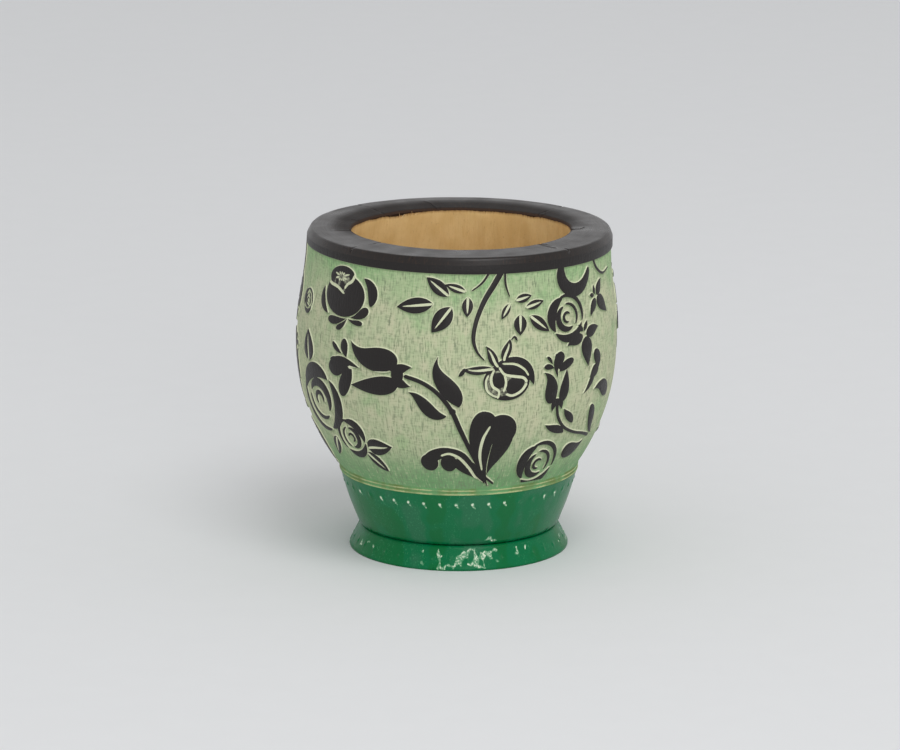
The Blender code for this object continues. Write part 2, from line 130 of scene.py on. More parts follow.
class Motif:
    """Outlines of what stands raised, and of the finer grooves cut back into it."""

    def __init__(self, raised=(), grooves=()):
        self.raised = list(raised)
        self.grooves = list(grooves)

    def __add__(self, other):
        return Motif(self.raised + other.raised, self.grooves + other.grooves)

    def placed(self, at, turn=0.0, size=1.0, mirror=False):
        """The motif mirrored left to right, scaled, turned in degrees and moved."""
        flip = np.array((-size if mirror else size, size))

        def moved(outlines):
            return [np.array(at, float) + turned(outline * flip, turn) for outline in outlines]

        return Motif(moved(self.raised), moved(self.grooves))


def stations(length):
    """Places from 0 to 1 along a line, closer together at its ends."""
    count = max(LEAST_STATIONS, round(length / POINT_SPACING) + 1)
    return (1.0 - np.cos(np.pi * np.linspace(0.0, 1.0, count))) / 2.0


def swell(t, ends):
    """A leaf's width along it, 1 at its fullest; an end with a power under 1 is blunt."""
    first, last = ends
    fullest = first / (first + last)
    return t**first * (1.0 - t) ** last / (fullest**first * (1.0 - fullest) ** last)


def ribbon(path, half_width):
    """The outline of a line that comes to a point at both ends."""
    along = np.gradient(path, axis=0)
    along /= np.linalg.norm(along, axis=1)[:, None]
    across = np.column_stack((-along[:, 1], along[:, 0])) * half_width[:, None]
    return np.vstack((path + across, (path - across)[-2:0:-1]))


def blade(base, tip, width, bends=(0.0, 0.0), ends=(1.0, 1.0)):
    """A leaf or petal; its bends push it to the left by that share of its length."""
    base = np.array(base, float)
    chord = np.array(tip, float) - base
    side = np.array((-chord[1], chord[0]))
    t = stations(np.linalg.norm(chord))
    u = t[:, None]
    bow = 3.0 * u * (1.0 - u) * ((1.0 - u) * bends[0] + u * bends[1])
    return ribbon(base + chord * u + side * bow, width / 2.0 * swell(t, ends))


def crescent(centre, radius, width, start, end, ends):
    """A petal bent round a centre, between two angles in degrees."""
    first, last = math.radians(start), math.radians(end)
    t = stations(abs(last - first) * radius)
    turn = first + (last - first) * t
    path = np.array(centre, float) + radius * np.column_stack((np.cos(turn), np.sin(turn)))
    return ribbon(path, width / 2.0 * swell(t, ends))


def oval(centre, radii, tilt=0.0):
    count = max(8, round(2.0 * math.pi * max(radii) / POINT_SPACING))
    turn = np.linspace(0.0, 2.0 * np.pi, count, endpoint=False)
    flat = np.column_stack((radii[0] * np.cos(turn), radii[1] * np.sin(turn)))
    return np.array(centre, float) + turned(flat, tilt)


def turned(points, degrees):
    angle = math.radians(degrees)
    c, s = math.cos(angle), math.sin(angle)
    return points @ np.array(((c, s), (-s, c)))


def smooth_path(points, count):
    """A smooth curve through the points, by the Catmull-Rom rule."""
    p = np.array(points, float)
    p = np.vstack((2.0 * p[0] - p[1], p, 2.0 * p[-1] - p[-2]))
    spans = len(p) - 3
    at = np.linspace(0.0, spans, count)
    i = np.minimum(at.astype(int), spans - 1)
    t = (at - i)[:, None]
    a, b, c, d = p[i], p[i + 1], p[i + 2], p[i + 3]
    bend = (2.0 * a - 5.0 * b + 4.0 * c - d) * t**2 + (3.0 * b - a - 3.0 * c + d) * t**3
    return b + 0.5 * ((c - a) * t + bend)


def stroke(points, widths):
    """A stem or a cut line of changing width, with rounded ends."""
    length = np.linalg.norm(np.diff(np.array(points, float), axis=0), axis=1).sum()
    path = smooth_path(points, max(LEAST_STATIONS, round(length / POINT_SPACING) + 1))
    gone = np.concatenate(((0.0,), np.cumsum(np.linalg.norm(np.diff(path, axis=0), axis=1))))
    t = gone / gone[-1]
    half_width = np.interp(t, np.linspace(0.0, 1.0, len(widths)), widths) / 2.0
    from_end = np.minimum(gone, gone[-1] - gone)
    return ribbon(path, half_width * np.sqrt(np.minimum(1.0, from_end / half_width)))


def veined_leaf(base, tip, width, bends=(0.0, 0.0), ends=(0.8, 1.0)):
    """A leaf with one vein cut from its stalk most of the way to its tip."""
    base = np.array(base, float)
    tip = np.array(tip, float)
    vein = blade(base, base + 0.85 * (tip - base), 0.75, bends, (0.15, 0.5))
    return Motif([blade(base, tip, width, bends, ends)], [vein])


def rosebud():
    petals = [
        oval((0.3, 1.2), (7.7, 5.8)),
        oval((-1.2, 6.0), (5.1, 2.9), 8.0),
        blade((-8.6, 2.2), (-5.6, -4.6), 2.1, (-0.28, -0.28), (0.8, 0.8)),
        blade((7.4, 6.6), (10.2, -0.6), 3.1, (0.3, 0.3), (0.8, 0.6)),
        blade((2.2, -5.0), (-5.0, -5.8), 2.2, (0.08, 0.12), (1.2, 0.5)),
        blade((2.6, -5.0), (-1.2, -8.0), 1.5, (0.1, 0.15), (1.3, 0.5)),
        blade((3.9, -4.4), (9.6, -1.4), 2.5, (-0.14, -0.1), (1.3, 0.5)),
        blade((3.0, -4.9), (8.2, -5.7), 1.4, (-0.12, 0.0), (1.3, 0.5)),
    ]
    cuts = [
        stroke(((-7.0, 4.8), (-5.6, 3.6), (-2.5, 3.0), (0.6, 1.5)), (0.9, 0.9, 0.7)),
        stroke(((0.2, 2.8), (1.4, 4.3), (3.0, 5.3), (4.1, 7.2), (4.2, 9.3)), (0.7, 0.9, 0.8)),
    ]
    heart = np.array((-1.4, 6.0))
    rays = (
        (20, 3.6), (48, 2.0), (82, 1.7), (120, 1.8), (160, 2.8),
        (200, 2.7), (238, 1.9), (275, 1.5), (312, 1.9), (345, 2.6),
    )
    for degrees, reach in rays:
        angle = math.radians(degrees)
        out = np.array((math.cos(angle), math.sin(angle) * 0.8))
        cuts.append(blade(heart + out * 0.7, heart + out * reach, 0.62, ends=(0.6, 0.6)))
    return Motif(petals, cuts)


def rose(radius):
    """Petals as crescents: radius and width as shares of the rose's, two angles, end power."""
    petals = (
        (0.80, 0.42, 104.0, 218.0, 0.8),
        (0.84, 0.32, 222.0, 338.0, 0.8),
        (0.86, 0.16, -16.0, 114.0, 0.5),
        (0.47, 0.26, 112.0, 305.0, 0.7),
        (0.53, 0.12, -36.0, 96.0, 0.5),
        (0.19, 0.12, 40.0, 290.0, 0.5),
    )
    return Motif(
        crescent((0.0, 0.0), radius * reach, radius * width, start, end, (power, power))
        for reach, width, start, end, power in petals
    )


def tulip():
    """An open tulip that points left, with its base at the origin."""
    petals = [
        blade((0.2, 3.5), (-14.4, 7.9), 6.8, (0.02, 0.3), (0.5, 1.05)),
        blade((0.2, -2.1), (-14.4, -4.3), 5.2, (0.06, 0.02), (0.5, 1.05)),
        oval((0.2, 0.4), (1.7, 2.7)),
        blade((-0.6, 1.6), (4.3, 2.6), 2.7, (0.0, 0.1), (0.5, 1.2)),
        blade((-0.6, -1.4), (3.8, -2.7), 2.7, (0.0, -0.1), (0.5, 1.2)),
        blade((-22.2, -1.9), (-11.6, 0.9), 5.2, (0.22, 0.18), (0.45, 1.3)),
        blade((-14.9, 1.6), (-18.2, -8.2), 4.0, (0.1, -0.05), (0.7, 0.5)),
        blade((-16.0, 3.2), (-16.9, 8.2), 2.5, (0.1, 0.1), (0.9, 0.6)),
        blade((-17.9, 4.0), (-21.5, 6.7), 1.4, (0.1, 0.1), (1.0, 0.6)),
        oval((-21.0, 2.0), (1.3, 0.6), 14.0),
    ]
    return Motif(petals, [stroke(((-15.5, 0.7), (-9.0, 0.2), (-3.5, 0.6), (-1.6, 1.1)), (0.9, 0.8, 0.6))])


def heart_leaf():
    lobes = [
        blade((0.9, -3.4), (-1.2, 20.6), 7.4, (0.16, 0.12), (1.5, 0.42)),
        oval((2.9, 14.9), (4.6, 4.6)),
        blade((-0.2, 1.0), (4.6, 17.0), 5.4, (0.04, -0.12), (1.3, 0.6)),
    ]
    vein = stroke(((-0.2, 16.5), (-2.2, 12.5), (-2.9, 7.5), (-1.9, 2.5)), (0.5, 0.9, 0.9, 0.5))
    return Motif(lobes, [vein])


def scalloped_leaf():
    arch = ((0.3, 0.2), (-3.6, 4.4), (-7.6, 9.1), (-12.0, 10.3), (-16.2, 9.0), (-18.6, 6.6))
    lobes = [
        stroke(arch, (0.4, 1.7, 2.1, 2.4, 3.4, 3.6)),
        oval((-17.6, 6.9), (2.7, 2.6)),
        oval((-11.6, 6.8), (2.5, 2.6)),
        blade((0.2, -0.2), (-10.4, 7.2), 4.4, (-0.12, -0.14), (1.2, 0.6)),
    ]
    vein = ((-14.0, 9.2), (-11.3, 9.9), (-8.3, 8.5), (-5.5, 5.4), (-3.2, 2.2), (-0.4, 0.0))
    return Motif(lobes, [stroke(vein, (0.6, 0.9, 0.9, 0.7))])


def tulip_spray():
    """A tulip on a bending stem with two blades, a heart leaf and a scalloped leaf."""
    upper_stem = ((-14.5, 58.6), (-9.5, 57.0), (-5.2, 54.0), (-1.6, 49.2))
    lower_stem = ((1.0, 43.0), (4.2, 36.0), (8.0, 29.2), (12.2, 25.7))
    stem = Motif([
        stroke(upper_stem + lower_stem, (1.0, 1.1, 1.3, 1.0, 0.5)),
        oval((-1.3, 48.8), (0.9, 0.9)),
        blade((0.4, 50.2), (-5.2, 64.3), 4.9, (-0.1, 0.3), (0.75, 1.3)),
        blade((-3.0, 47.5), (-13.2, 54.0), 3.5, (0.3, -0.12), (0.8, 1.1)),
    ])
    return (
        stem
        + tulip().placed((-16.6, 58.4))
        + heart_leaf().placed((9.5, 28.0))
        + scalloped_leaf().placed((8.8, 26.2))
    )


def peony():
    petals = [
        oval((-0.2, -0.2), (6.5, 5.3), -4.0),
        blade((-3.4, 4.6), (7.6, -1.6), 3.6, (0.32, 0.36), (0.7, 0.8)),
    ]
    folds = (
        (((-1.8, 5.0), (2.0, 4.6), (4.6, 3.0), (6.0, 1.0)), (0.5, 0.7, 0.5)),
        (((-2.6, 4.2), (-1.0, 2.0), (1.8, 1.2), (4.4, 0.6), (5.6, -0.8)), (0.6, 0.8, 0.8)),
        (((5.6, -0.8), (4.0, -3.0), (1.5, -4.2), (-0.6, -3.6)), (0.8, 0.8, 0.7)),
        (((-0.9, 1.9), (-0.5, -0.6), (-1.2, -3.2)), (0.7, 0.7)),
        (((-3.7, 3.6), (-4.6, 1.2), (-4.2, -1.2), (-2.4, -2.8), (-2.8, -5.0)), (0.6, 0.8, 0.6)),
        (((-5.2, 2.2), (-6.0, 0.2), (-5.6, -2.4), (-3.8, -4.0), (-2.4, -4.4)), (0.5, 0.7, 0.5)),
    )
    return Motif(petals, [stroke(points, widths) for points, widths in folds])


def peony_spray():
    """A nodding peony on a stem from the rim, between two sprigs of small leaves."""
    sprigs = (
        ((-2.9, 80.9), (-9.2, 85.8), 3.6),
        ((1.8, 82.1), (-3.9, 84.0), 2.2),
        ((-7.2, 78.6), (-17.4, 77.3), 4.2),
        ((-2.0, 77.8), (-7.1, 71.0), 4.9),
        ((2.5, 80.5), (2.4, 75.3), 3.0),
        ((16.2, 79.2), (21.0, 80.2), 2.3),
        ((19.2, 77.0), (24.8, 78.4), 2.3),
        ((14.4, 78.4), (12.0, 74.4), 2.0),
        ((17.4, 75.2), (17.3, 69.7), 3.7),
        ((20.4, 74.6), (26.2, 69.9), 3.2),
    )
    upper_stem = ((12.7, 89.0), (10.0, 84.2), (7.0, 79.3), (4.9, 74.0))
    lower_stem = ((4.2, 69.3), (5.2, 65.8), (7.2, 63.3))
    stems = Motif([
        stroke(upper_stem + lower_stem, (1.7, 1.5, 1.2, 1.0, 0.2)),
        stroke(((8.8, 88.0), (6.5, 84.6), (3.4, 82.2)), (0.6, 0.5, 0.2)),
        stroke(((12.9, 88.0), (13.1, 84.0), (14.4, 80.3)), (0.5, 0.5, 0.2)),
        stroke(((16.4, 68.2), (15.6, 69.4), (14.6, 68.6)), (0.5, 0.5, 0.2)),
        blade((2.0, 61.2), (0.4, 59.0), 1.1, (0.1, 0.1), (0.8, 0.8)),
    ])
    spray = (
        stems
        + peony().placed((13.7, 57.2))
        + veined_leaf((9.8, 60.8), (1.4, 61.0), 2.3, (0.0, 0.12), (0.9, 1.0))
        + veined_leaf((11.0, 61.3), (7.6, 67.2), 2.4, (0.1, -0.1), (0.8, 1.2))
        + veined_leaf((12.6, 62.9), (14.2, 68.8), 2.5, (0.1, -0.1), (0.7, 0.9))
    )
    for base, tip, width in sprigs:
        spray += veined_leaf(base, tip, width)
    return spray


def leaf_star():
    return Motif([
        blade((0.6, -0.8), (1.8, -9.4), 4.6, ends=(0.6, 1.2)),
        blade((0.9, 0.2), (6.9, 1.0), 3.2, (-0.1, 0.1), (0.6, 1.1)),
        blade((-0.8, 0.0), (-6.8, -2.2), 3.0, (0.1, -0.1), (0.6, 1.1)),
        blade((0.0, 1.0), (1.6, 3.6), 1.4, ends=(0.8, 1.0)),
        blade((-0.6, 1.0), (-2.2, 3.0), 1.4, ends=(0.8, 1.0)),
    ])


def scroll_leaf():
    return Motif([
        blade((0.2, 0.2), (4.4, 5.6), 1.9, (-0.12, -0.1), (1.2, 0.6)),
        blade((2.6, 4.4), (6.2, 7.6), 3.2, (-0.1, -0.1), (0.8, 0.6)),
        blade((5.6, 5.4), (4.2, 11.6), 3.2, (-0.25, -0.3), (1.0, 0.5)),
    ])


def rose_cluster():
    """A rosebud over a large and a small rose, with leaves."""
    return (
        rosebud().placed((-36.0, 77.0))
        + rose(10.3).placed((-45.8, 47.2), 90.0, mirror=True)
        + rose(6.1).placed((-34.6, 37.8), 30.0, mirror=True)
        + rose(3.6).placed((-54.0, 73.5))
        + veined_leaf((-50.2, 57.5), (-51.3, 66.0), 6.0, ends=(0.6, 1.0))
        + veined_leaf((-28.8, 35.6), (-20.2, 37.0), 4.9, (0.06, -0.06), (0.5, 1.0))
        + veined_leaf((-29.9, 34.0), (-24.0, 28.8), 3.4, ends=(0.6, 0.8))
        + veined_leaf((-42.5, 36.5), (-46.5, 30.5), 3.2, ends=(0.6, 1.0))
    )


def garland():
    """Roses, a small tulip and scrolling leaves under a crescent that hangs from the rim."""
    stem = ((29.4, 48.6), (30.6, 44.6), (33.6, 41.2), (38.4, 38.9), (44.0, 37.4), (48.5, 36.0))
    tendril = ((45.0, 88.0), (47.6, 84.2), (52.0, 81.9), (57.0, 82.6))
    stems_and_leaves = Motif([
        crescent((36.9, 85.7), 5.9, 3.7, 158.0, 356.0, (0.4, 0.5)),
        stroke(stem, (0.9, 0.8, 0.7, 0.9)),
        stroke(tendril, (0.8, 0.7, 0.3)),
        blade((36.8, 42.0), (32.5, 46.8), 2.2, (-0.1, 0.1), (0.7, 1.0)),
        blade((33.8, 39.6), (26.4, 42.9), 2.3, (-0.1, 0.1), (0.7, 1.0)),
        blade((46.0, 35.0), (36.4, 33.4), 4.6, (0.22, 0.1), (1.2, 0.5)),
        blade((50.0, 36.5), (44.6, 45.6), 3.2, (0.25, -0.1), (1.2, 0.6)),
        blade((45.0, 50.2), (54.0, 46.8), 4.2, (0.3, 0.2), (1.2, 0.6)),
    ])
    return (
        stems_and_leaves
        + rose(7.0).placed((32.8, 72.8))
        + rose(7.7).placed((27.0, 30.8), 4.0)
        + leaf_star().placed((39.2, 67.0))
        + leaf_star().placed((46.2, 76.4), 38.0, 0.85)
        + tulip().placed((29.6, 49.4), 90.0, 0.62, mirror=True)
        + scroll_leaf().placed((39.6, 49.8))
    )


def floral_ornament():
    """The motifs all round: the front, and the back made of the same sprays, mirrored."""
    return (
        rose_cluster()
        + tulip_spray()
        + peony_spray()
        + garland()
        + (tulip_spray() + peony_spray()).placed((94.0, 0.0), mirror=True)
        + rosebud().placed((127.0, 76.0), mirror=True)
        + rose(3.6).placed((67.0, 66.0), 150.0)
        + leaf_star().placed((72.0, 33.0), 160.0, 0.9)
        + garland().placed((-36.0, 0.0), mirror=True)
        + rose_cluster().placed((-150.0, 0.0), mirror=True)
        + leaf_star().placed((-131.5, 62.0), 20.0, 0.8)
        + rose(5.0).placed((-131.5, 46.0), 200.0)
        + leaf_star().placed((-131.0, 33.5), 0.0, 0.8)
    )


class Outline:
    """A turned outline as (radius, height) rows, read by the distance along it."""

    def __init__(self, rows, along=None):
        self.rows = np.array(rows, float)
        steps = np.linalg.norm(np.diff(self.rows, axis=0), axis=1)
        self.along = np.concatenate(((0.0,), np.cumsum(steps))) if along is None else along
        slope = np.gradient(self.rows, self.along, axis=0)
        slope /= np.linalg.norm(slope, axis=1)[:, None]
        self.facing = np.column_stack((slope[:, 1], -slope[:, 0]))

    def read(self, rows, at):
        return np.column_stack([np.interp(at, self.along, column) for column in rows.T])

    def wrapped(self, x, at, relief):
        """Points round the cup, in metres, raised off the outline by a relief."""
        radius, height = (self.read(self.rows, at) + self.read(self.facing, at) * relief[:, None]).T
        angle = x / DRUM_RADIUS
        to_rim = np.clip((height - BELLY_HEIGHT) / (RIM_BAND_FOOT - BELLY_HEIGHT), 0.0, 1.0)
        to_mouth = np.clip((CHAMFER_RADIUS - radius) / (CHAMFER_RADIUS - MOUTH_RADIUS), 0.0, 1.0)
        sideways = lean(height) + MOUTH_ASIDE * to_rim * to_mouth + radius * np.sin(angle)
        level = height - RIM_SLOPE * to_rim * sideways - mouth_bevel(angle, radius, height)
        return np.column_stack((sideways, -radius * np.cos(angle), level)) * MM


def at_back(angle):
    """1 behind the mouth and 0 at its front, fuller on the left."""
    return np.clip(0.35 - np.cos(angle - 0.25), 0.0, 1.0)


def mouth_bevel(angle, radius, height):
    inward = np.clip((BEVEL_RADIUS - radius) / (BEVEL_RADIUS - MOUTH_RADIUS), 0.0, 1.0)
    upward = np.clip(1.0 - (HEIGHT - height) / BEVEL_REACH, 0.0, 1.0)
    return BEVEL_DROP * at_back(angle) * inward * upward


def lean(height):
    """How far right of the belly's axis the gourd's centre lies."""
    share = np.clip((height - RIDGE_FOOT) / (HEIGHT - RIDGE_FOOT), 0.0, 1.0)
    return FOOT_LEAN + (RIM_LEAN - FOOT_LEAN) * share - FOOT_LEAN * np.sin(np.pi * share)


def rounded(corners):
    """A line through (radius, height, rounding) corners, with an arc at each rounded one."""
    rows = [corners[0][:2]]
    for before, (radius, height, rounding), after in zip(corners, corners[1:], corners[2:]):
        corner = np.array((radius, height))
        back = np.array(before[:2]) - corner
        on = np.array(after[:2]) - corner
        back /= np.linalg.norm(back)
        on /= np.linalg.norm(on)
        for t in np.linspace(0.0, 1.0, 7):
            pull = back * (1.0 - t) ** 2 + on * t**2
            rows.append(corner + pull * rounding)
    return rows + [corners[-1][:2]]


def densely(rows, step=0.2):
    """The same line with points every step or so."""
    rows = np.array(rows, float)
    along = np.concatenate(((0.0,), np.cumsum(np.linalg.norm(np.diff(rows, axis=0), axis=1))))
    at = np.linspace(0.0, along[-1], math.ceil(along[-1] / step) + 1)
    return np.column_stack([np.interp(at, along, column) for column in rows.T])


def skin_radius(height):
    """The uncut gourd's radius from the ridge up to the rim."""
    below = np.clip((BELLY_HEIGHT - height) / (BELLY_HEIGHT - RIDGE_TOP), 0.0, None)
    above = np.clip((height - BELLY_HEIGHT) / SHOULDER_RISE, 0.0, 1.0)
    drop_below = (BELLY_RADIUS - RIDGE_RADIUS) * below**BELLY_CURVE
    drop_above = SHOULDER_DRAW_IN * (1.0 - np.cos(np.pi * above)) / 2.0
    flare = np.clip((height - FLARE_FOOT) / (CHAMFER_FOOT - FLARE_FOOT), 0.0, 1.0)
    return BELLY_RADIUS - drop_below - drop_above + RIM_FLARE * np.sin(np.pi / 2.0 * flare)


def carved_outline():
    height = np.linspace(RIDGE_FOOT, CHAMFER_FOOT, 400)
    on_ridge = np.interp(height, (RIDGE_FOOT, RIDGE_TOP), (CONE_TOP_RADIUS, RIDGE_RADIUS))
    radius = np.where(height < RIDGE_TOP, on_ridge, skin_radius(height))
    return Outline(np.column_stack((radius, height)), height)


def rim_outline():
    corners = (
        (float(skin_radius(CHAMFER_FOOT)), CHAMFER_FOOT, 0.0),
        (CHAMFER_RADIUS, HEIGHT, 0.25),
        (MOUTH_RADIUS, HEIGHT, 0.5),
        (MOUTH_RADIUS + 0.03, STAIN_FOOT, 0.0),
    )
    return Outline(densely(rounded(corners), 0.1))


def inside_outline():
    rows = []
    for height in np.linspace(STAIN_FOOT, BOWL_TOP, 120):
        share = (height - BOWL_TOP) / (HEIGHT - BOWL_TOP)
        rows.append((MOUTH_RADIUS + (CAVITY_RADIUS - MOUTH_RADIUS) * math.cos(math.pi / 2.0 * share), height))
    for angle in np.linspace(0.0, math.pi / 2.0, 120)[1:]:
        rows.append((CAVITY_RADIUS * math.cos(angle), BOWL_TOP - (BOWL_TOP - CAVITY_FLOOR) * math.sin(angle)))
    rows[-1] = (0.0, CAVITY_FLOOR)
    return Outline(rows)


def band_outline():
    corners = (
        (0.0, GOURD_FOOT, 0.0),
        (WAIST_RADIUS, GOURD_FOOT, EDGE_ROUND),
        ((WAIST_RADIUS + CONE_TOP_RADIUS) / 2.0 + CONE_SWELL, (GOURD_FOOT + RIDGE_FOOT) / 2.0, 3.0),
        (CONE_TOP_RADIUS, RIDGE_FOOT, 0.0),
    )
    return Outline(densely(rounded(corners)))


def foot_outline():
    low, high = FOOT_EDGE, FOOT_HEIGHT - EDGE_ROUND
    rows = [(0.0, 0.0), (FOOT_RADIUS - FOOT_EDGE, 0.0)]
    for share in np.linspace(0.0, 1.0, 24):
        spread = (FOOT_RADIUS - WAIST_RADIUS) * (1.0 - share)
        rows.append((WAIST_RADIUS + spread, low + (high - low) * share))
    rows += [(WAIST_RADIUS - EDGE_ROUND / 3.0, FOOT_HEIGHT - EDGE_ROUND / 3.0)]
    rows += [(WAIST_RADIUS - EDGE_ROUND, FOOT_HEIGHT), (0.0, FOOT_HEIGHT)]
    return Outline(densely(rows))


def signed_area(outline):
    x, y = outline.T
    return 0.5 * float(np.sum(x * np.roll(y, -1) - np.roll(x, -1) * y))


def kept_on(outlines, low, high):
    """Outlines made counterclockwise and held within a skin and off its seam."""
    side = HALF_GIRTH - SEAM_CLEARANCE
    held = [np.clip(outline, (-side, low), (side, high)) for outline in outlines]
    return [outline if signed_area(outline) > 0.0 else outline[::-1] for outline in held]


def spine(outline):
    """The line along the middle of a ribbon's outline."""
    count = len(outline) // 2
    return (outline[1:count] + outline[:-count:-1]) / 2.0


def grown(outline, distance):
    """A counterclockwise outline moved outward, with its corners held short of long spikes."""
    after = np.roll(outline, -1, axis=0) - outline
    after /= np.maximum(np.linalg.norm(after, axis=1), SAME_PLACE)[:, None]
    normal_after = np.column_stack((after[:, 1], -after[:, 0]))
    normal_before = np.roll(normal_after, 1, axis=0)
    both = normal_after + normal_before
    openness = np.maximum(1.0 + (normal_after * normal_before).sum(axis=1), 0.5)
    return outline + both * distance / openness[:, None]


def depth_inside(points, outline):
    """How far points lie inside an outline, negative outside it, and which way its edge faces."""
    start, end = outline, np.roll(outline, -1, axis=0)
    edge = end - start
    length = np.maximum((edge**2).sum(axis=1), SAME_PLACE**2)
    away = points[:, None, :] - start[None]
    along = np.clip((away * edge).sum(axis=2) / length, 0.0, 1.0)
    gaps = np.linalg.norm(away - along[..., None] * edge, axis=2)
    nearest = gaps.argmin(axis=1)
    gap = gaps[np.arange(len(points)), nearest]
    level = points[:, 1:2]
    crosses = (start[:, 1] > level) != (end[:, 1] > level)
    rise = np.where(edge[:, 1] == 0.0, 1.0, edge[:, 1])
    crossing = start[:, 0] + (level - start[:, 1]) / rise * edge[:, 0]
    inside = (crosses & (points[:, 0:1] < crossing)).sum(axis=1) % 2 == 1
    facing = np.column_stack((edge[:, 1], -edge[:, 0])) / np.sqrt(length)[:, None]
    return np.where(inside, gap, -gap), facing[nearest] @ LIT_SIDE


def depth_in(points, outlines):
    """Depth inside the nearest of many shapes, down to -FAR, and how lit the edge's side is."""
    depth = np.full(len(points), -FAR)
    lit = np.zeros(len(points))
    for outline in outlines:
        low = outline.min(axis=0) - FAR
        high = outline.max(axis=0) + FAR
        near = np.flatnonzero(np.all((points > low) & (points < high), axis=1))
        if len(near):
            here, side = depth_inside(points[near], outline)
            better = here > depth[near]
            depth[near[better]] = here[better]
            lit[near[better]] = side[better]
    return depth, lit


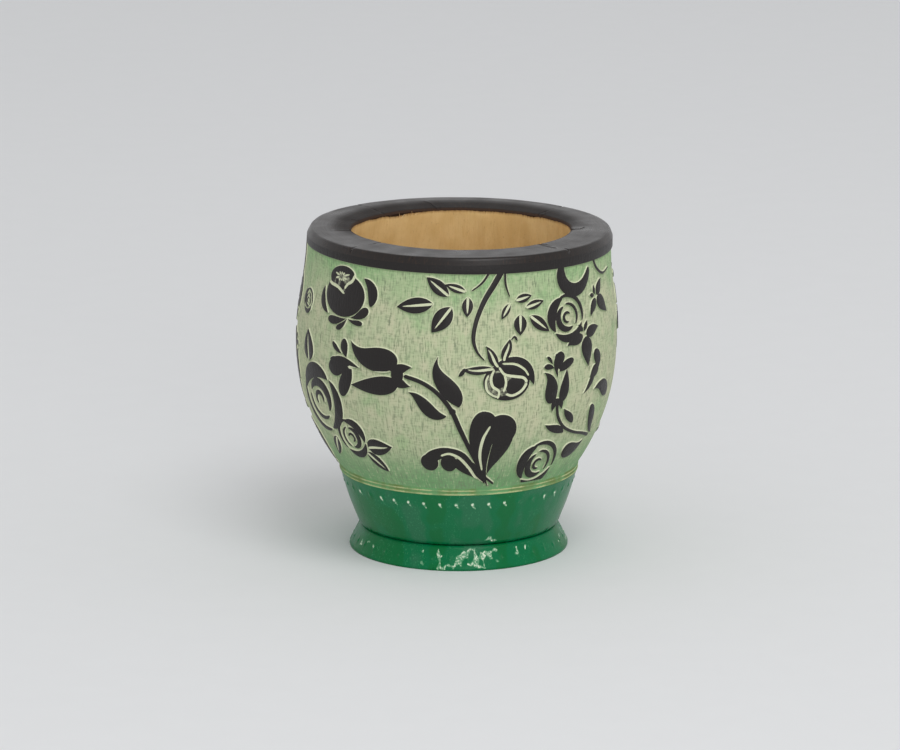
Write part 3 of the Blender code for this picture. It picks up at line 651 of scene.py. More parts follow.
class Skin:
    """A flat sheet over part of the cup's outline, cut into triangles along its drawing."""

    def __init__(self, name, outline, strips, step=LATTICE_STEP, poles=(False, False), edges=(), creases=()):
        self.name = name
        self.outline = outline
        self.strips = strips
        self.low, self.high = outline.along[0], outline.along[-1]
        self.poles = poles
        points, lines = self.frame(step)
        for closed in edges:
            lines += [(len(points) + i, len(points) + (i + 1) % len(closed)) for i in range(len(closed))]
            points += [tuple(p) for p in closed]
        for crease in creases:
            lines += [(len(points) + i, len(points) + i + 1) for i in range(len(crease) - 1)]
            points += [tuple(p) for p in crease]
        points += self.lattice(step, [p for drawn in (*edges, *creases) for p in drawn])
        for cut in self.cuts():
            lines.append((len(points), len(points) + 1))
            points += [(cut, self.low), (cut, self.high)]
        flat, _, triangles, _, _, _ = delaunay_2d_cdt(points, lines, [], 0, SAME_PLACE)
        self.flat = np.array([tuple(p) for p in flat])
        self.triangles = np.array(triangles)
        self.relief = np.zeros(len(self.flat))
        self.marks = {}

    def columns(self, row, step):
        """Evenly spaced places round the cup, fewer where it is narrow."""
        radius = float(self.outline.read(self.outline.rows, [row])[0, 0])
        count = max(POLE_COLUMNS, round(2.0 * math.pi * radius / step))
        return np.linspace(-HALF_GIRTH, HALF_GIRTH, count + 1)

    def rows(self, step):
        return np.linspace(self.low, self.high, max(2, round((self.high - self.low) / step)) + 1)

    def frame(self, step):
        """The sheet's border: full columns where it meets another skin, few at a pole."""
        at_low, at_high = (POLE_COLUMNS if pole else BORDER_COLUMNS for pole in self.poles)
        rows = self.rows(step)
        border = [(x, self.low) for x in np.linspace(-HALF_GIRTH, HALF_GIRTH, at_low + 1)[:-1]]
        border += [(HALF_GIRTH, y) for y in rows[:-1]]
        border += [(x, self.high) for x in np.linspace(HALF_GIRTH, -HALF_GIRTH, at_high + 1)[:-1]]
        border += [(-HALF_GIRTH, y) for y in rows[:0:-1]]
        return border, [(i, (i + 1) % len(border)) for i in range(len(border))]

    def lattice(self, step, drawn):
        """Plain points between the borders, clear of the drawing's own."""
        spots = []
        for number, row in enumerate(self.rows(step)[1:-1]):
            columns = self.columns(row, step)
            shift = (columns[1] - columns[0]) * 0.5 * (number % 2)
            spots += [(x + shift, row) for x in columns[1:-1] if x + shift < HALF_GIRTH - SEAM_CLEARANCE]
        if not drawn:
            return spots
        taken = {(round(x / LATTICE_CLEARANCE), round(y / LATTICE_CLEARANCE)) for x, y in drawn}
        near = [(i, j) for i in (-1, 0, 1) for j in (-1, 0, 1)]

        def clear(x, y):
            i, j = round(x / LATTICE_CLEARANCE), round(y / LATTICE_CLEARANCE)
            return not any((i + a, j + b) in taken for a, b in near)

        return [spot for spot in spots if clear(*spot)]

    def cuts(self):
        """Where the sheet is cut into strips for its map, clear of the front."""
        width = GIRTH / self.strips
        places = (np.arange(self.strips) + 0.5) * width - HALF_GIRTH
        shift = 0.0 if self.strips % 2 == 0 else width / 2.0
        return [x for x in places + shift if abs(x) < HALF_GIRTH - SAME_PLACE]

    def corner_map(self, corners):
        """Each corner's place on a square map that stacks the strips."""
        width = GIRTH / self.strips
        side = max(width, (self.high - self.low) * self.strips) * 1.03
        x = self.flat[corners][:, :, 0]
        middle = x.mean(axis=1, keepdims=True)
        strip = np.floor((middle + width / 2.0) / width)
        across = x - (strip - 0.5) * width
        up = self.flat[corners][:, :, 1] - self.low
        gap = (side - (self.high - self.low) * self.strips) / self.strips
        rising = (strip % self.strips) * (self.high - self.low + gap) + gap / 2.0 + up
        spare = (side - width) / 2.0
        return np.stack(((across + spare) / side, rising / side), axis=2)

    def mesh(self):
        """The wrapped mesh, closed along its back seam and at its poles."""
        stands_for = np.arange(len(self.flat))
        x, y = self.flat.T
        left = np.flatnonzero(x < SAME_PLACE - HALF_GIRTH)
        for i in np.flatnonzero(x > HALF_GIRTH - SAME_PLACE):
            stands_for[i] = left[np.abs(y[left] - y[i]).argmin()]
        for pole, level in zip(self.poles, (self.low, self.high)):
            if pole:
                ring = np.flatnonzero(np.abs(y - level) < SAME_PLACE)
                stands_for[ring] = ring[0]
        corners = stands_for[self.triangles]
        whole = (corners != np.roll(corners, 1, axis=1)).all(axis=1)
        kept, renumbered = np.unique(corners[whole], return_inverse=True)
        faces = renumbered.reshape(-1, 3)
        places = self.outline.wrapped(x, y, self.relief)[kept]
        mesh = bpy.data.meshes.new(self.name)
        mesh.from_pydata(places.tolist(), [], faces.tolist())
        uv = self.corner_map(self.triangles[whole])
        mesh.uv_layers.new(name="OFBake").uv.foreach_set("vector", uv.astype(np.float32).ravel())
        for mark, values in self.marks.items():
            layer = mesh.attributes.new(mark, "FLOAT", "POINT")
            layer.data.foreach_set("value", values[kept].astype(np.float32))
        drum = np.column_stack((DRUM_RADIUS * np.sin(x / DRUM_RADIUS), -DRUM_RADIUS * np.cos(x / DRUM_RADIUS), y))
        layer = mesh.attributes.new("drum", "FLOAT_VECTOR", "POINT")
        layer.data.foreach_set("vector", drum[kept].astype(np.float32).ravel())
        mesh.shade_smooth()
        return mesh

    def piece(self, finish, slot, node):
        """The skin as a piece that stands for a solid."""
        made = bpy.data.objects.new(self.name, self.mesh())
        made.data.materials.append(finish)
        bpy.context.scene.collection.objects.link(made)
        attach(made, "root")
        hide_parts(node)
        return made


def undulation(x, y, size):
    """A slow, hand-made unevenness that closes on itself round the cup."""
    turn = x / DRUM_RADIUS
    waves = (
        np.sin(5.0 * turn + 0.11 * y)
        + np.sin(9.0 * turn - 0.07 * y + 1.3)
        + np.sin(14.0 * turn + 0.19 * y + 4.0)
        + np.sin(23.0 * turn - 0.31 * y + 2.2)
    )
    return size * waves / 4.0


# Distances up from the ridge's foot to its two beads, each bead's half width and its height
RIDGE_BEADS = (0.5, 1.5)
BEAD_HALF_WIDTH = 0.45
BEAD_HEIGHT = 0.22
RIDGE_ROWS = (0.12, 0.3, 0.5, 0.7, 0.88, 1.0, 1.12, 1.3, 1.5, 1.7, 1.88, 2.1)
RIM_BAND_EDGE = (-0.5, -WALL, -WALL / 2.0, 0.0, EDGE_WEAR_WIDTH)


def rim_band_foot(x):
    """The lower edge of the plain band under the rim, which runs down a little to the right."""
    return RIM_BAND_FOOT - 0.15 - 0.36 * np.sin(x / DRUM_RADIUS)


def carved_side():
    ornament = floral_ornament()
    low, high = RIDGE_TOP + SEAM_CLEARANCE, CHAMFER_FOOT - SEAM_CLEARANCE
    raised = kept_on(ornament.raised, low, high)
    grooves = kept_on(ornament.grooves, low, high)
    edges = [grown(outline, offset) for outline in raised for offset in OUTLINE_OFFSETS]
    edges = [np.clip(edge, (-HALF_GIRTH + 0.2, RIDGE_TOP + 0.2), (HALF_GIRTH - 0.2, high)) for edge in edges]
    across = np.linspace(-HALF_GIRTH, HALF_GIRTH, BORDER_COLUMNS + 1)
    creases = [spine(outline) for outline in grooves]
    creases += [np.column_stack((across, rim_band_foot(across) + rise)) for rise in RIM_BAND_EDGE]
    creases += [np.column_stack((across, np.full_like(across, RIDGE_FOOT + rise))) for rise in RIDGE_ROWS]
    skin = Skin("carved_side", carved_outline(), 2, edges=edges + grooves, creases=creases)
    x, y = skin.flat.T
    depth, lit = depth_in(skin.flat, raised)
    cut, _ = depth_in(skin.flat, grooves)
    in_band = y - rim_band_foot(x)
    # The rim band's foot faces down, so it gets the painted shade of an edge turned from the light; this also
    # stands for the dark bleed under the band
    lit = np.where(in_band > depth, -LIT_SIDE[1], lit)
    depth = np.maximum(depth, in_band)
    top = np.clip(1.0 + depth / WALL, 0.0, 1.0)
    edge_wear = EDGE_WEAR * np.clip(1.0 - depth / EDGE_WEAR_WIDTH, 0.0, 1.0)
    groove = GROOVE_DEPTH * np.clip(cut / GROOVE_WALL, 0.0, 1.0) * (depth > 0.0)
    ground = undulation(x, y, 0.07)
    skin.relief = -(CARVING_DEPTH - ground) * (1.0 - top) - (edge_wear + groove) * (top > 0.99)
    from_bead = np.abs((y - RIDGE_FOOT)[:, None] - RIDGE_BEADS).min(axis=1) / BEAD_HALF_WIDTH
    bead = BEAD_HEIGHT * (1.0 - np.clip(from_bead, 0.0, 1.0) ** 2)
    up_ridge = np.clip((y - RIDGE_FOOT) / (RIDGE_TOP - RIDGE_FOOT), 0.0, 1.0)
    skin.relief = np.where(y < RIDGE_TOP, bead - CARVING_DEPTH * up_ridge, skin.relief)
    skin.marks = {"depth": depth, "groove": cut, "lit": lit}
    return skin


def rim_cracks(outline):
    """Fine radial cracks in the rim's top: angle from the front, reach in from the mouth, width."""
    mouth = outline.along[-1] - (HEIGHT - STAIN_FOOT)
    cracks = (
        (-82.0, 4.8, 0.34, 0.4), (-167.0, 6.4, 0.34, 2.5), (84.0, 3.8, 0.7, 6.0),
        (43.0, 7.4, 0.32, 0.4), (132.0, 2.0, 0.26, 0.4), (-112.0, 2.4, 0.24, 0.3),
    )
    outlines = []
    for degrees, reach, width, drift in cracks:
        x = math.radians(degrees) * DRUM_RADIUS
        path = [(x, mouth + 0.3), (x + 0.3 * drift, mouth - 0.35 * reach)]
        path += [(x + 0.4 * drift, mouth - 0.7 * reach), (x + drift, mouth - reach)]
        outlines.append(stroke(path, (width * 1.4, width, width * 0.7, width * 0.3)))
    return outlines


CRACK_DEPTH = 0.28


def stained_rim():
    outline = rim_outline()
    cracks = kept_on(rim_cracks(outline), outline.along[0] + 0.2, outline.along[-1] - 0.2)
    edges = [grown(crack, offset) for crack in cracks for offset in (0.25, 0.1, 0.0)]
    skin = Skin("stained_rim", outline, 4, 0.7, edges=edges)
    x, y = skin.flat.T
    depth, _ = depth_in(skin.flat, cracks)
    lip = 0.05 * np.clip(1.0 - np.abs(depth + 0.1) / 0.15, 0.0, 1.0)
    free = np.clip(np.minimum(y - skin.low, skin.high - y) / 0.8, 0.0, 1.0)
    cracked = CRACK_DEPTH * np.clip(depth / 0.1 + 0.4, 0.0, 1.0)
    radius, height = outline.read(outline.rows, y).T
    bevelled = mouth_bevel(x / DRUM_RADIUS, radius, height) / BEVEL_DROP
    skin.relief = (undulation(x, y, 0.05) + lip - cracked) * free
    skin.marks = {"depth": depth, "bevelled": bevelled}
    return skin


# Where the rim's stain has run down the inner wall: angle from the front, half width, depth
STAIN_RUNS = (
    (-145.0, 10.0, 0.75), (-128.0, 4.0, 0.3), (88.0, 2.6, 1.0), (138.0, 7.0, 0.3),
    (62.0, 3.0, 0.5), (-60.0, 5.0, 0.6), (15.0, 9.0, 0.5), (-178.0, 12.0, 0.12),
)


def stain_reach(x):
    """How far the rim's stain has run down the inner wall, round the cup."""
    degrees = np.degrees(x / DRUM_RADIUS)
    reach = 0.05 + undulation(x, 0.0, 0.25)
    for middle, half_width, depth in STAIN_RUNS:
        reach = reach + depth * np.exp(-(((degrees - middle) / half_width) ** 2))
    return reach


def bare_inside():
    skin = Skin("bare_inside", inside_outline(), 2, 1.1, poles=(False, True))
    x, y = skin.flat.T
    free = np.clip((y - skin.low) / 2.0, 0.0, 1.0) * np.clip((skin.high - y) / 6.0, 0.0, 1.0)
    scraped = 0.08 * np.sin(41.0 * x / DRUM_RADIUS + 2.0 * np.sin(0.13 * y))
    skin.relief = (undulation(x, y, 0.3) + scraped) * free
    skin.marks = {"stained": stain_reach(x) - y}
    return skin


# Each torn fibre: angle and depth below the rim at its root, the same at its tip, and its width
FIBRES = (
    (-136.4, 1.9, -135.4, 0.7, 0.22), (-141.0, 2.6, -138.6, 0.85, 0.32), (-142.6, 2.4, -142.2, 1.1, 0.22),
    (-145.8, 2.5, -144.7, 0.2, 0.28), (-146.8, 2.4, -148.6, 0.8, 0.26), (-149.2, 1.7, -147.8, 0.8, 0.2),
    (-153.1, 2.0, -152.6, 0.05, 0.24), (-155.0, 1.7, -158.0, 0.9, 0.22), (-151.4, 1.8, -150.0, 0.9, 0.2),
)
FIBRE_RINGS = 7
FIBRE_LIFT = 0.22


def torn_fibres():
    """Pale slivers torn up from the mouth's back left edge when it was cut."""
    wall = Outline(((MOUTH_RADIUS, HEIGHT), (MOUTH_RADIUS + 0.2, HEIGHT - 3.0)))
    t = np.linspace(0.0, 1.0, FIBRE_RINGS)
    points, faces, marks = [], [], []
    for number, (root, root_depth, tip, tip_depth, width) in enumerate(FIBRES):
        x = np.radians(root + (tip - root) * t**1.4) * DRUM_RADIUS
        y = root_depth + (tip_depth - root_depth) * t
        half = width / 2.0 * (1.0 - t) ** 0.7
        lift = 0.02 + FIBRE_LIFT * t**2
        first = len(points)
        sides = ((-half, lift), (half, lift), (0.0 * half, lift + half))
        rings = [wall.wrapped(x + across, y, relief) for across, relief in sides]
        points += np.stack(rings, axis=1)[:-1].reshape(-1, 3).tolist()
        points.append(rings[0][-1].tolist())
        tip_corner = len(points) - 1
        faces.append((first, first + 1, first + 2))
        for ring in range(FIBRE_RINGS - 1):
            for side in range(3):
                low, after = first + 3 * ring + side, first + 3 * ring + (side + 1) % 3
                if ring == FIBRE_RINGS - 2:
                    faces.append((low, tip_corner, after))
                else:
                    faces.append((low, low + 3, after + 3, after))
        marks += [(number + 0.2 + 0.3 * side, t[ring]) for ring in range(FIBRE_RINGS - 1) for side in range(3)]
        marks.append((number + 0.5, 1.0))
    mesh = bpy.data.meshes.new("torn_fibres")
    mesh.from_pydata(points, [], faces)
    spots = np.array(marks) / (len(FIBRES), 1.0)
    corners = np.zeros(len(mesh.loops), int)
    mesh.loops.foreach_get("vertex_index", corners)
    mesh.uv_layers.new(name="OFBake").uv.foreach_set("vector", spots[corners].astype(np.float32).ravel())
    made = bpy.data.objects.new("torn_fibres", mesh)
    bpy.context.scene.collection.objects.link(made)
    mesh.materials.append(fibre_finish())
    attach(made, "root")
    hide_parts("gourd")


# The painted band has a row of dots under its ridge. Those across the front are painted pale as glints, and some
# others, picked at random, are worn pale
DOT_REPEATS = 45
DOT_LEVEL = 19.6
DOT_RADIUS = 0.5
DOT_TURN = -1.4
DOT_HEIGHT = 0.14
GLINT_DOTS = range(-4, 4)


def band_dots():
    """The raised dots, in the unrolled band, and the pale spots on them: painted glints across the front and worn
    ones elsewhere.
    """
    stretch = DRUM_RADIUS / CONE_TOP_RADIUS
    dots, wear_and_glints = [], []
    chance = np.random.default_rng(3)
    for repeat in range(-(DOT_REPEATS // 2), DOT_REPEATS // 2 + 1):
        x = math.radians(DOT_TURN + 360.0 / DOT_REPEATS * repeat) * DRUM_RADIUS
        dot = oval((x, DOT_LEVEL), (DOT_RADIUS * stretch, DOT_RADIUS))
        dots.append(dot)
        shift = chance.uniform(-0.3, 0.3, 2)
        tail = blade((x - 0.2, DOT_LEVEL - 0.2), (x + 0.9 + shift[0], DOT_LEVEL - 1.2 + shift[1]), 0.4)
        # Dots across the front get a painted glint; the others are worn pale by chance
        if repeat in GLINT_DOTS or chance.uniform() < 0.3:
            wear_and_glints += [oval((x, DOT_LEVEL), (0.4 * stretch, 0.42)), tail]
    return dots, wear_and_glints


def rubbed_streaks(low, high, clusters, seed):
    """Short streaks where paint is rubbed off, in clusters: angle, spread and how many."""
    chance = np.random.default_rng(seed)
    streaks = []
    for degrees, spread, count in clusters:
        for _ in range(count):
            x = math.radians(degrees + chance.normal(0.0, spread)) * DRUM_RADIUS
            y = chance.uniform(low, high)
            way = math.radians(chance.uniform(-60.0, 80.0))
            length = chance.uniform(0.5, 1.7)
            tip = (x + 1.4 * length * math.cos(way), y + length * math.sin(way))
            streaks.append(blade((x, y), tip, chance.uniform(0.25, 0.6), (0.1, 0.1), (0.5, 0.7)))
    return streaks


def painted(name, outline, strips, drawn, rubbed, poles):
    """A painted skin with low domes on it and pale places: paint rubbed off, and on the band's front dots painted
    glints.
    """
    edges = [grown(shape, offset) for shape in drawn for offset in (0.12, 0.0, -0.14)]
    skin = Skin(name, outline, strips, 0.9, poles=poles, edges=edges + rubbed)
    depth, _ = depth_in(skin.flat, drawn)
    rubbed_depth, _ = depth_in(skin.flat, rubbed)
    dome = np.clip((depth + 0.12) / 0.34, 0.0, 1.0)
    level = outline.read(outline.rows, skin.flat[:, 1])[:, 1]
    off_ends = np.clip(np.minimum(level - level.min(), level.max() - level), 0.0, 1.0)
    skin.relief = DOT_HEIGHT * np.sin(np.pi / 2.0 * dome) + undulation(*skin.flat.T, 0.05) * off_ends
    skin.marks = {"depth": depth, "rubbed": rubbed_depth}
    return skin


def painted_band():
    outline = band_outline()
    rise = outline.along[-1] - (RIDGE_FOOT - DOT_LEVEL) * 1.07 - DOT_LEVEL
    dots, wear_and_glints = band_dots()
    low = outline.along[-1] - (RIDGE_FOOT - GOURD_FOOT) * 1.05
    streaks = rubbed_streaks(low + 0.3, low + 2.6, ((18.0, 2.0, 4), (-160.0, 9.0, 8)), 5)
    rubbed = [shape + np.array((0.0, rise)) for shape in wear_and_glints] + streaks
    drawn = [shape + np.array((0.0, rise)) for shape in dots]
    low, high = outline.along[0] + 1.0, outline.along[-1] - 0.5
    return painted("painted_band", outline, 3, kept_on(drawn, low, high), kept_on(rubbed, low, high), (True, False))


FOOT_WEAR = (
    (2.0, 5.0, 16), (13.0, 5.0, 16), (31.0, 1.6, 3), (40.0, 1.2, 2), (-14.0, 4.0, 7),
    (88.0, 8.0, 10), (160.0, 12.0, 16), (-110.0, 9.0, 12), (-62.0, 5.0, 4),
)


def painted_foot():
    outline = foot_outline()
    base = FOOT_RADIUS
    rubbed = rubbed_streaks(base + 0.6, base + 5.6, FOOT_WEAR, 7)
    drawn = [oval((x, base + 3.2), (0.5, 0.36)) for x in np.linspace(-HALF_GIRTH, HALF_GIRTH, 38)[1:-1]]
    rubbed = kept_on(rubbed, base + 0.3, base + 6.4)
    return painted("painted_foot", outline, 2, kept_on(drawn, base, base + 6.4), rubbed, (True, True))


class Wire:
    """A node's output; sums on it add Math nodes."""

    def __init__(self, nodes, socket):
        self.nodes = nodes
        self.socket = socket

    def __add__(self, other):
        return self.nodes.maths("ADD", self, other)

    def __radd__(self, other):
        return self.nodes.maths("ADD", other, self)

    def __sub__(self, other):
        return self.nodes.maths("SUBTRACT", self, other)

    def __rsub__(self, other):
        return self.nodes.maths("SUBTRACT", other, self)

    def __mul__(self, other):
        return self.nodes.maths("MULTIPLY", self, other)

    def __rmul__(self, other):
        return self.nodes.maths("MULTIPLY", other, self)


class Nodes:
    """Nodes that are added one by one to a tree and fed to its shader."""

    def __init__(self, tree, shader):
        self.tree = tree
        self.shader = tree.nodes[shader]

    def node(self, kind, settings=None, values=None, output=0):
        made = self.tree.nodes.new(kind)
        for name, value in (settings or {}).items():
            setattr(made, name, value)
        for socket, value in (values or {}).items():
            if isinstance(value, Wire):
                self.tree.links.new(value.socket, made.inputs[socket])
            else:
                made.inputs[socket].default_value = value
        return Wire(self, made.outputs[output])

    def maths(self, operation, *values):
        return self.node("ShaderNodeMath", {"operation": operation}, dict(enumerate(values)))

    def feed(self, **sockets):
        for socket, wire in sockets.items():
            self.tree.links.new(wire.socket, self.shader.inputs[socket.replace("_", " ")])

    def ramp(self, value, low, high):
        """0 below low, 1 above high and a smooth rise between, or a fall if low is the higher."""
        settings = {"interpolation_type": "SMOOTHSTEP"}
        return self.node("ShaderNodeMapRange", settings, {"Value": value, "From Min": low, "From Max": high})

    def height_of(self, place):
        return self.node("ShaderNodeSeparateXYZ", {}, {0: place}, "Z")


class Finish(Nodes):
    """A material, with the constants of its Principled shader."""

    def __init__(self, name, **constants):
        self.material = bpy.data.materials.new(name)
        self.material.use_nodes = True
        super().__init__(self.material.node_tree, "Principled BSDF")
        for socket, value in constants.items():
            self.shader.inputs[socket.replace("_", " ")].default_value = value

    def mark(self, name):
        return self.node("ShaderNodeAttribute", {"attribute_name": name}, output="Fac")

    def place(self, name="drum"):
        return self.node("ShaderNodeAttribute", {"attribute_name": name}, output="Vector")

    def stretched(self, place, by):
        return self.node("ShaderNodeVectorMath", {"operation": "MULTIPLY"}, {0: place, 1: by})

    def noise(self, place, scale, detail=2.0, roughness=0.5):
        values = {"Vector": place, "Scale": scale, "Detail": detail, "Roughness": roughness}
        return self.node("ShaderNodeTexNoise", {}, values, "Fac")

    def mix(self, share, first, second):
        return self.node("ShaderNodeMix", {"data_type": "RGBA"}, {0: share, 6: first, 7: second}, 2)

    def bump(self, height, distance, strength=1.0):
        values = {"Height": height, "Distance": distance * MM, "Strength": strength}
        return self.node("ShaderNodeBump", {}, values)


def colour(red, green, blue):
    """A linear colour from the 0 to 255 values that a screen shows."""
    shares = np.array((red, green, blue)) / 255.0
    linear = np.where(shares <= 0.04045, shares / 12.92, ((shares + 0.055) / 1.055) ** 2.4)
    return (*linear.tolist(), 1.0)


BLACK_STAIN = colour(28, 24, 23)
WORN_STAIN = colour(62, 54, 48)
CUT_CREAM = colour(212, 217, 184)
SHADED_CUT = colour(98, 124, 82)
PALE_GREEN = colour(180, 190, 152)
STRAW = colour(198, 195, 164)
LEAF_GREEN = colour(128, 178, 116)
LOW_GREEN = colour(107, 158, 104)
GREY_THREAD = colour(124, 136, 108)
DARK_FLECK = colour(92, 108, 82)
RIDGE_CREAM = colour(190, 196, 142)
RIDGE_OLIVE = colour(108, 132, 74)


def carved_finish():
    """Pale green dye in a scraped ground, near-black stain on the raised motifs and rim band, and painted highlight
    and painted shade beside the cut edges by the way each faces.
    """
    finish = Finish("carved_side", IOR=1.45, Specular_IOR_Level=0.4)
    drum = finish.place()
    height = finish.height_of(drum)
    depth = finish.mark("depth")
    lit = finish.mark("lit")
    groove = finish.mark("groove")

    threads = finish.noise(finish.stretched(drum, (1.0, 1.0, 0.16)), 2.6, 2.0, 0.5)
    crossing = finish.noise(finish.stretched(drum, (0.25, 0.25, 1.0)), 2.2, 2.0, 0.5)
    weave = threads * 0.62 + crossing * 0.38
    blotches = finish.noise(drum, 0.085, 3.0, 0.6)
    clouds = finish.noise(finish.stretched(drum, (1.0, 1.0, 0.6)), 0.3, 2.0, 0.5)
    ragged = finish.noise(drum, 1.6, 2.0)

    green = finish.mix(finish.ramp(clouds, 0.35, 0.7) * 0.6, PALE_GREEN, STRAW)
    up_share = finish.ramp(height + blotches * 26.0, 84.0, 106.0)
    green = finish.mix(up_share * 0.8, green, LEAF_GREEN)
    low_share = finish.ramp(height + blotches * 12.0, 49.0, 29.0)
    green = finish.mix(low_share * 0.95, green, LOW_GREEN)
    green = finish.mix(finish.ramp(blotches, 0.52, 0.7) * 0.4, green, LEAF_GREEN)
    green = finish.mix(finish.ramp(weave, 0.53, 0.37) * 0.62, green, GREY_THREAD)
    green = finish.mix(finish.ramp(weave, 0.53, 0.66) * 0.45, green, STRAW)
    flecks = finish.ramp(threads, 0.4, 0.3) * finish.ramp(clouds, 0.42, 0.6)
    green = finish.mix(flecks * 0.5, green, DARK_FLECK)

    # Beside each raised edge the ground gets a painted highlight where the edge faces the light and painted shade
    # where it faces away
    from_wall = depth + (ragged - 0.5) * 0.3
    light_and_shade_halo = finish.ramp(from_wall, -0.8, -0.25)
    green = finish.mix(light_and_shade_halo * finish.ramp(lit, 0.0, 0.8) * 0.25, green, CUT_CREAM)
    green = finish.mix(light_and_shade_halo * finish.ramp(lit, 0.0, -0.8) * 0.4, green, SHADED_CUT)

    # The cut walls are the pale cream of the bare gourd, darkened to painted shade on the side turned from the
    # light
    wall = finish.mix(finish.ramp(lit, -0.7, 0.1) * 0.75 + 0.25, SHADED_CUT, CUT_CREAM)
    on_wall = finish.ramp(from_wall, -WALL - 0.06, -WALL + 0.02)
    side = finish.mix(on_wall, green, wall)

    scuffs = finish.ramp(finish.noise(finish.stretched(drum, (1.0, 1.0, 0.5)), 2.4, 4.0, 0.7), 0.62, 0.8)
    stain = finish.mix(scuffs * 0.3, BLACK_STAIN, WORN_STAIN)
    in_groove = finish.ramp(groove + (ragged - 0.5) * 0.1, -0.03, 0.06)
    stain = finish.mix(in_groove, stain, CUT_CREAM)
    on_top = finish.ramp(depth + (ragged - 0.5) * 0.08, -0.1, -0.02)
    skin = finish.mix(on_top, side, stain)

    in_ridge = finish.ramp(height, RIDGE_TOP + 0.05, RIDGE_TOP - 0.15)
    first, second = (RIDGE_FOOT + rise for rise in RIDGE_BEADS)
    from_first = finish.maths("ABSOLUTE", height - first)
    from_second = finish.maths("ABSOLUTE", height - second)
    off_bead = finish.maths("MINIMUM", from_first, from_second)
    on_bead = finish.ramp(off_bead + (ragged - 0.5) * 0.35, 0.24, 0.08)
    rubbed = finish.ramp(finish.noise(drum, 0.13, 2.0), 0.36, 0.52)
    ridge = finish.mix(finish.ramp(blotches, 0.4, 0.6), LOW_GREEN, RIDGE_OLIVE)
    ridge = finish.mix(on_bead * (rubbed * 0.7 + 0.15), ridge, RIDGE_CREAM)
    skin = finish.mix(in_ridge, skin, ridge)
    painted_over = finish.ramp(height + (ragged - 0.5) * 0.4, RIDGE_FOOT + 0.28, RIDGE_FOOT + 0.12)
    skin = finish.mix(painted_over, skin, BAND_GREEN)

    dark = on_top * (1.0 - in_ridge) * (1.0 - in_groove)
    roughness = 0.74 - dark * 0.32 + (weave - 0.5) * 0.16
    woven = finish.bump(weave, 0.22, 0.7)
    finish.feed(Base_Color=skin, Roughness=roughness, Normal=woven)
    return finish.material


RIM_STAIN = colour(32, 27, 25)
RIM_BROWN = colour(82, 58, 42)
CRACK_DARK = colour(14, 10, 9)


def rim_finish():
    """The sawn and sanded edge, stained black, with brown showing in its fibres."""
    finish = Finish("stained_rim", IOR=1.5, Specular_IOR_Level=0.36)
    drum = finish.place()
    along = finish.height_of(drum)
    depth = finish.mark("depth")
    bevelled = finish.mark("bevelled")
    turning = finish.noise(finish.stretched(drum, (0.12, 0.12, 3.0)), 1.0, 3.0, 0.6)
    fibre = finish.noise(finish.stretched(drum, (1.4, 1.4, 0.3)), 1.6, 3.0, 0.6)
    cloud = finish.noise(drum, 0.12, 2.0)
    stain = finish.mix(finish.ramp(fibre, 0.5, 0.8) * 0.4, RIM_STAIN, RIM_BROWN)
    mouth = rim_outline().along[-1] - (HEIGHT - STAIN_FOOT)
    at_mouth = finish.ramp(along + (fibre - 0.5) * 1.2, mouth - 0.7, mouth + 0.3)
    stain = finish.mix(at_mouth * 0.4, stain, RIM_BROWN)
    stain = finish.mix(finish.ramp(depth, -0.12, 0.02), stain, CRACK_DARK)
    patchy = (cloud - 0.5) * 0.3 + (turning - 0.5) * 0.16
    roughness = 0.34 + patchy + at_mouth * 0.3 + finish.ramp(bevelled, 0.0, 0.5) * 0.4
    marks = finish.bump(turning + fibre * 0.5, 0.05, 0.7)
    finish.feed(Base_Color=stain, Roughness=roughness, Normal=marks)
    return finish.material


BARE_TAN = colour(228, 197, 140)
BARE_DEEP = colour(208, 172, 110)
STAIN_BLEED = colour(44, 30, 21)
STAIN_BROWN = colour(122, 80, 42)
FIBRE_PALE = colour(244, 222, 176)


def inside_finish():
    """Dry bare gourd, with the rim's stain bleeding a little way down in a ragged edge."""
    finish = Finish("bare_inside", IOR=1.4, Specular_IOR_Level=0.25)
    drum = finish.place()
    stained = finish.mark("stained")
    fibre = finish.noise(finish.stretched(drum, (1.0, 1.0, 0.15)), 1.6, 4.0, 0.6)
    cloud = finish.noise(drum, 0.08, 3.0, 0.6)
    pores = finish.noise(finish.stretched(drum, (1.0, 1.0, 0.6)), 2.2, 3.0, 0.6)
    tan = finish.mix(finish.ramp(cloud, 0.38, 0.66) * 0.55, BARE_TAN, BARE_DEEP)
    tan = finish.mix(finish.ramp(fibre, 0.45, 0.7) * 0.3, tan, BARE_DEEP)
    tan = finish.mix(finish.ramp(pores, 0.62, 0.74) * 0.35, tan, STAIN_BROWN)
    edge = stained + (fibre - 0.5) * 0.9 + (pores - 0.5) * 0.5
    shade = finish.mix(finish.ramp(edge, -0.9, 0.1) * 0.6, tan, STAIN_BROWN)
    shade = finish.mix(finish.ramp(edge, -0.12, 0.14), shade, STAIN_BLEED)
    rubbed = finish.bump(fibre + pores * 0.4, 0.16, 0.6)
    finish.feed(Base_Color=shade, Roughness=0.8 + (pores - 0.5) * 0.2, Normal=rubbed)
    return finish.material


def fibre_finish():
    finish = Finish("torn_fibre", IOR=1.4, Roughness=0.8, Specular_IOR_Level=0.25)
    place = finish.node("ShaderNodeTexCoord", output="Object")
    streak = finish.noise(finish.stretched(place, (2000.0, 2000.0, 500.0)), 1.0)
    finish.feed(Base_Color=finish.mix(streak * 0.5, FIBRE_PALE, BARE_TAN))
    return finish.material


BAND_GREEN = colour(0, 108, 64)
DEEP_GREEN = colour(0, 104, 54)
GREY_GREEN = colour(34, 108, 72)
RAISED_GREEN = colour(66, 146, 100)
WEAR_AND_GLINT_CREAM = colour(222, 232, 208)
WEAR_AND_GLINT_GREEN = colour(120, 182, 140)


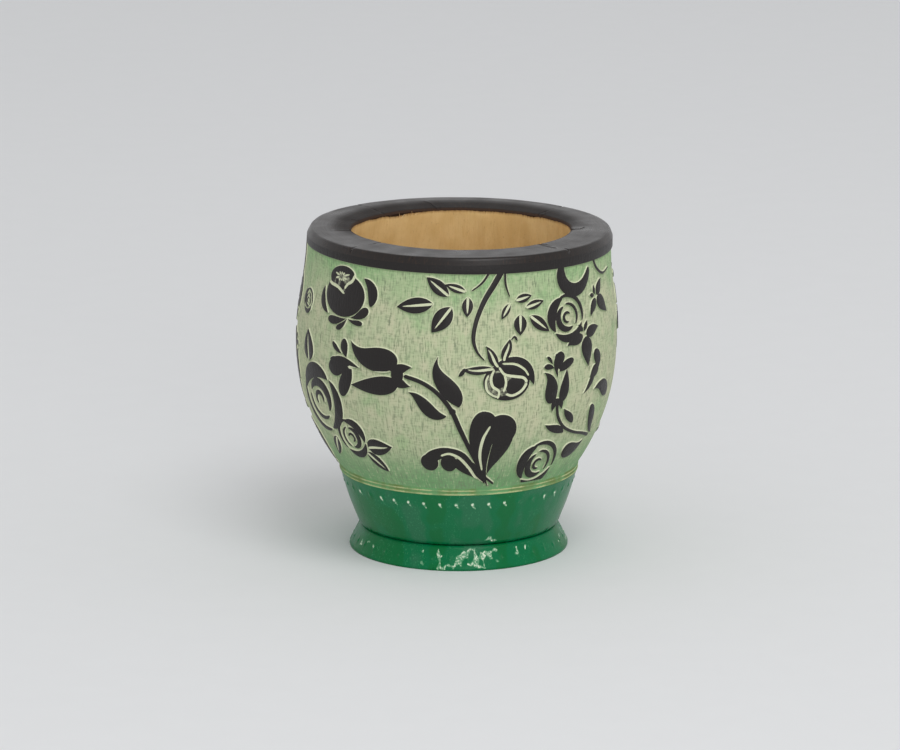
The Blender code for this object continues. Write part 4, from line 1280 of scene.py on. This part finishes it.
def paint_finish(name, gloss, grey_from):
    """Green gloss paint, speckled and rubbed through to pale wood in places; the same pale shows the painted glints
    on the band's front dots.
    """
    finish = Finish(name, IOR=1.5, Specular_IOR_Level=gloss)
    drum = finish.place()
    depth = finish.mark("depth")
    rubbed = finish.mark("rubbed")
    cloud = finish.noise(drum, 0.07, 2.0)
    speckle = finish.noise(drum, 1.7, 3.0, 0.6)
    patch = finish.noise(drum, 0.14, 2.0, 0.6)
    paint = finish.mix(finish.ramp(cloud, grey_from, grey_from + 0.08), BAND_GREEN, GREY_GREEN)
    paint = finish.mix(finish.ramp(cloud, 0.46, 0.4), paint, DEEP_GREEN)
    specks = finish.ramp(speckle, 0.56, 0.66) * finish.ramp(patch, 0.46, 0.58)
    paint = finish.mix(specks * 0.45, paint, RAISED_GREEN)
    paint = finish.mix(finish.ramp(depth, 0.0, 0.25) * 0.35, paint, RAISED_GREEN)
    # The rubbed mark holds worn paint and the band's painted glints: both get a paler green rim and a pale cream
    # middle
    ragged = rubbed + (speckle - 0.5) * 0.5
    paint = finish.mix(finish.ramp(ragged, -0.3, 0.02) * 0.5, paint, WEAR_AND_GLINT_GREEN)
    wear_and_glints = finish.ramp(ragged, -0.04, 0.1)
    paint = finish.mix(wear_and_glints, paint, WEAR_AND_GLINT_CREAM)
    orange_peel = finish.bump(speckle, 0.08, 0.5)
    finish.feed(Base_Color=paint, Roughness=0.3 + wear_and_glints * 0.35 + (cloud - 0.5) * 0.1, Normal=orange_peel)
    return finish.material


FLOOR_PALE = colour(233, 234, 235)
FLOOR_GREY = colour(231, 232, 233)


def floor():
    """A plain pale surface, wide enough to fill every view."""
    reach = 6.0
    mesh = bpy.data.meshes.new("pale_floor")
    mesh.from_pydata([(-reach, -reach, 0.0), (reach, -reach, 0.0), (reach, reach, 0.0), (-reach, reach, 0.0)], [], [(0, 1, 2, 3)])
    ground = bpy.data.objects.new("pale_floor", mesh)
    bpy.context.scene.collection.objects.link(ground)
    finish = Finish("pale_floor", Roughness=0.9, Specular_IOR_Level=0.1)
    paper = finish.noise(finish.node("ShaderNodeTexCoord", output="Object"), 90.0, 2.0)
    finish.feed(Base_Color=finish.mix(paper, FLOOR_PALE, FLOOR_GREY))
    mesh.materials.append(finish.material)


def area_light(name, place, target, size, power, tint=(1.0, 1.0, 1.0)):
    lamp = bpy.data.lights.new(name, "AREA")
    lamp.shape = "DISK"
    lamp.size = size
    lamp.energy = power
    lamp.color = tint
    fixture = bpy.data.objects.new(name, lamp)
    bpy.context.scene.collection.objects.link(fixture)
    aim = np.array(target, float) - np.array(place, float)
    fixture.matrix_world = Matrix.Translation(place) @ looking(aim)


def looking(way):
    """A turn that points an object's -Z along a way, with its Y as upright as it can be."""
    back = -np.array(way, float) / np.linalg.norm(way)
    right = np.cross((0.0, 1.0, 0.0) if abs(back[2]) > 0.999 else (0.0, 0.0, 1.0), back)
    right /= np.linalg.norm(right)
    up = np.cross(back, right)
    return Matrix([(*row, 0.0) for row in np.column_stack((right, up, back)).tolist()] + [(0.0, 0.0, 0.0, 1.0)])


# The light tent is brighter round the horizon than overhead
TENT_HORIZON = 0.8
TENT_ZENITH = 0.54


def studio():
    world = bpy.data.worlds.new("light_tent")
    world.use_nodes = True
    nodes = Nodes(world.node_tree, "Background")
    nodes.shader.inputs["Color"].default_value = (0.985, 0.99, 1.0, 1.0)
    up = nodes.height_of(nodes.node("ShaderNodeTexCoord", output="Generated"))
    overhead = nodes.ramp(up, 0.1, 0.9)
    nodes.feed(Strength=TENT_HORIZON + overhead * (TENT_ZENITH - TENT_HORIZON))
    bpy.context.scene.world = world
    area_light("front_soft_box", (0.55, -2.2, 0.62), (0.0, 0.0, 0.05), 1.2, 9.0)
    area_light("top_soft_box", (0.5, -0.95, 1.75), (0.0, 0.0, 0.04), 1.1, 11.5)
    bpy.context.scene.view_settings.view_transform = "Standard"


# The photographed view: down by this angle from this far, through a long lens
VIEW_DOWN = math.radians(13.51)
VIEW_DISTANCE = 1.40545
VIEW_HEIGHT = 0.0486
VIEW_ASIDE = -0.00177
LENS = 200.0


def camera():
    lens = bpy.data.cameras.new("photo_view")
    lens.lens = LENS
    lens.clip_end = 50.0
    view = bpy.data.objects.new("photo_view", lens)
    way = (0.0, math.cos(VIEW_DOWN), -math.sin(VIEW_DOWN))
    place = np.array((VIEW_ASIDE, 0.0, VIEW_HEIGHT)) - VIEW_DISTANCE * np.array(way)
    view.matrix_world = Matrix.Translation(place.tolist()) @ looking(way)
    bpy.context.scene.collection.objects.link(view)
    bpy.context.scene.camera = view


def main():
    carved_side().piece(carved_finish(), "carved_gourd", "gourd")
    stained_rim().piece(rim_finish(), "stained_rim", "gourd")
    bare_inside().piece(inside_finish(), "bare_gourd", "gourd")
    torn_fibres()
    painted_band().piece(paint_finish("painted_band", 0.3, 0.5), "green_paint", "gourd")
    painted_foot().piece(paint_finish("painted_foot", 0.16, 0.56), "green_paint", "foot")
    floor()
    studio()
    camera()


main()
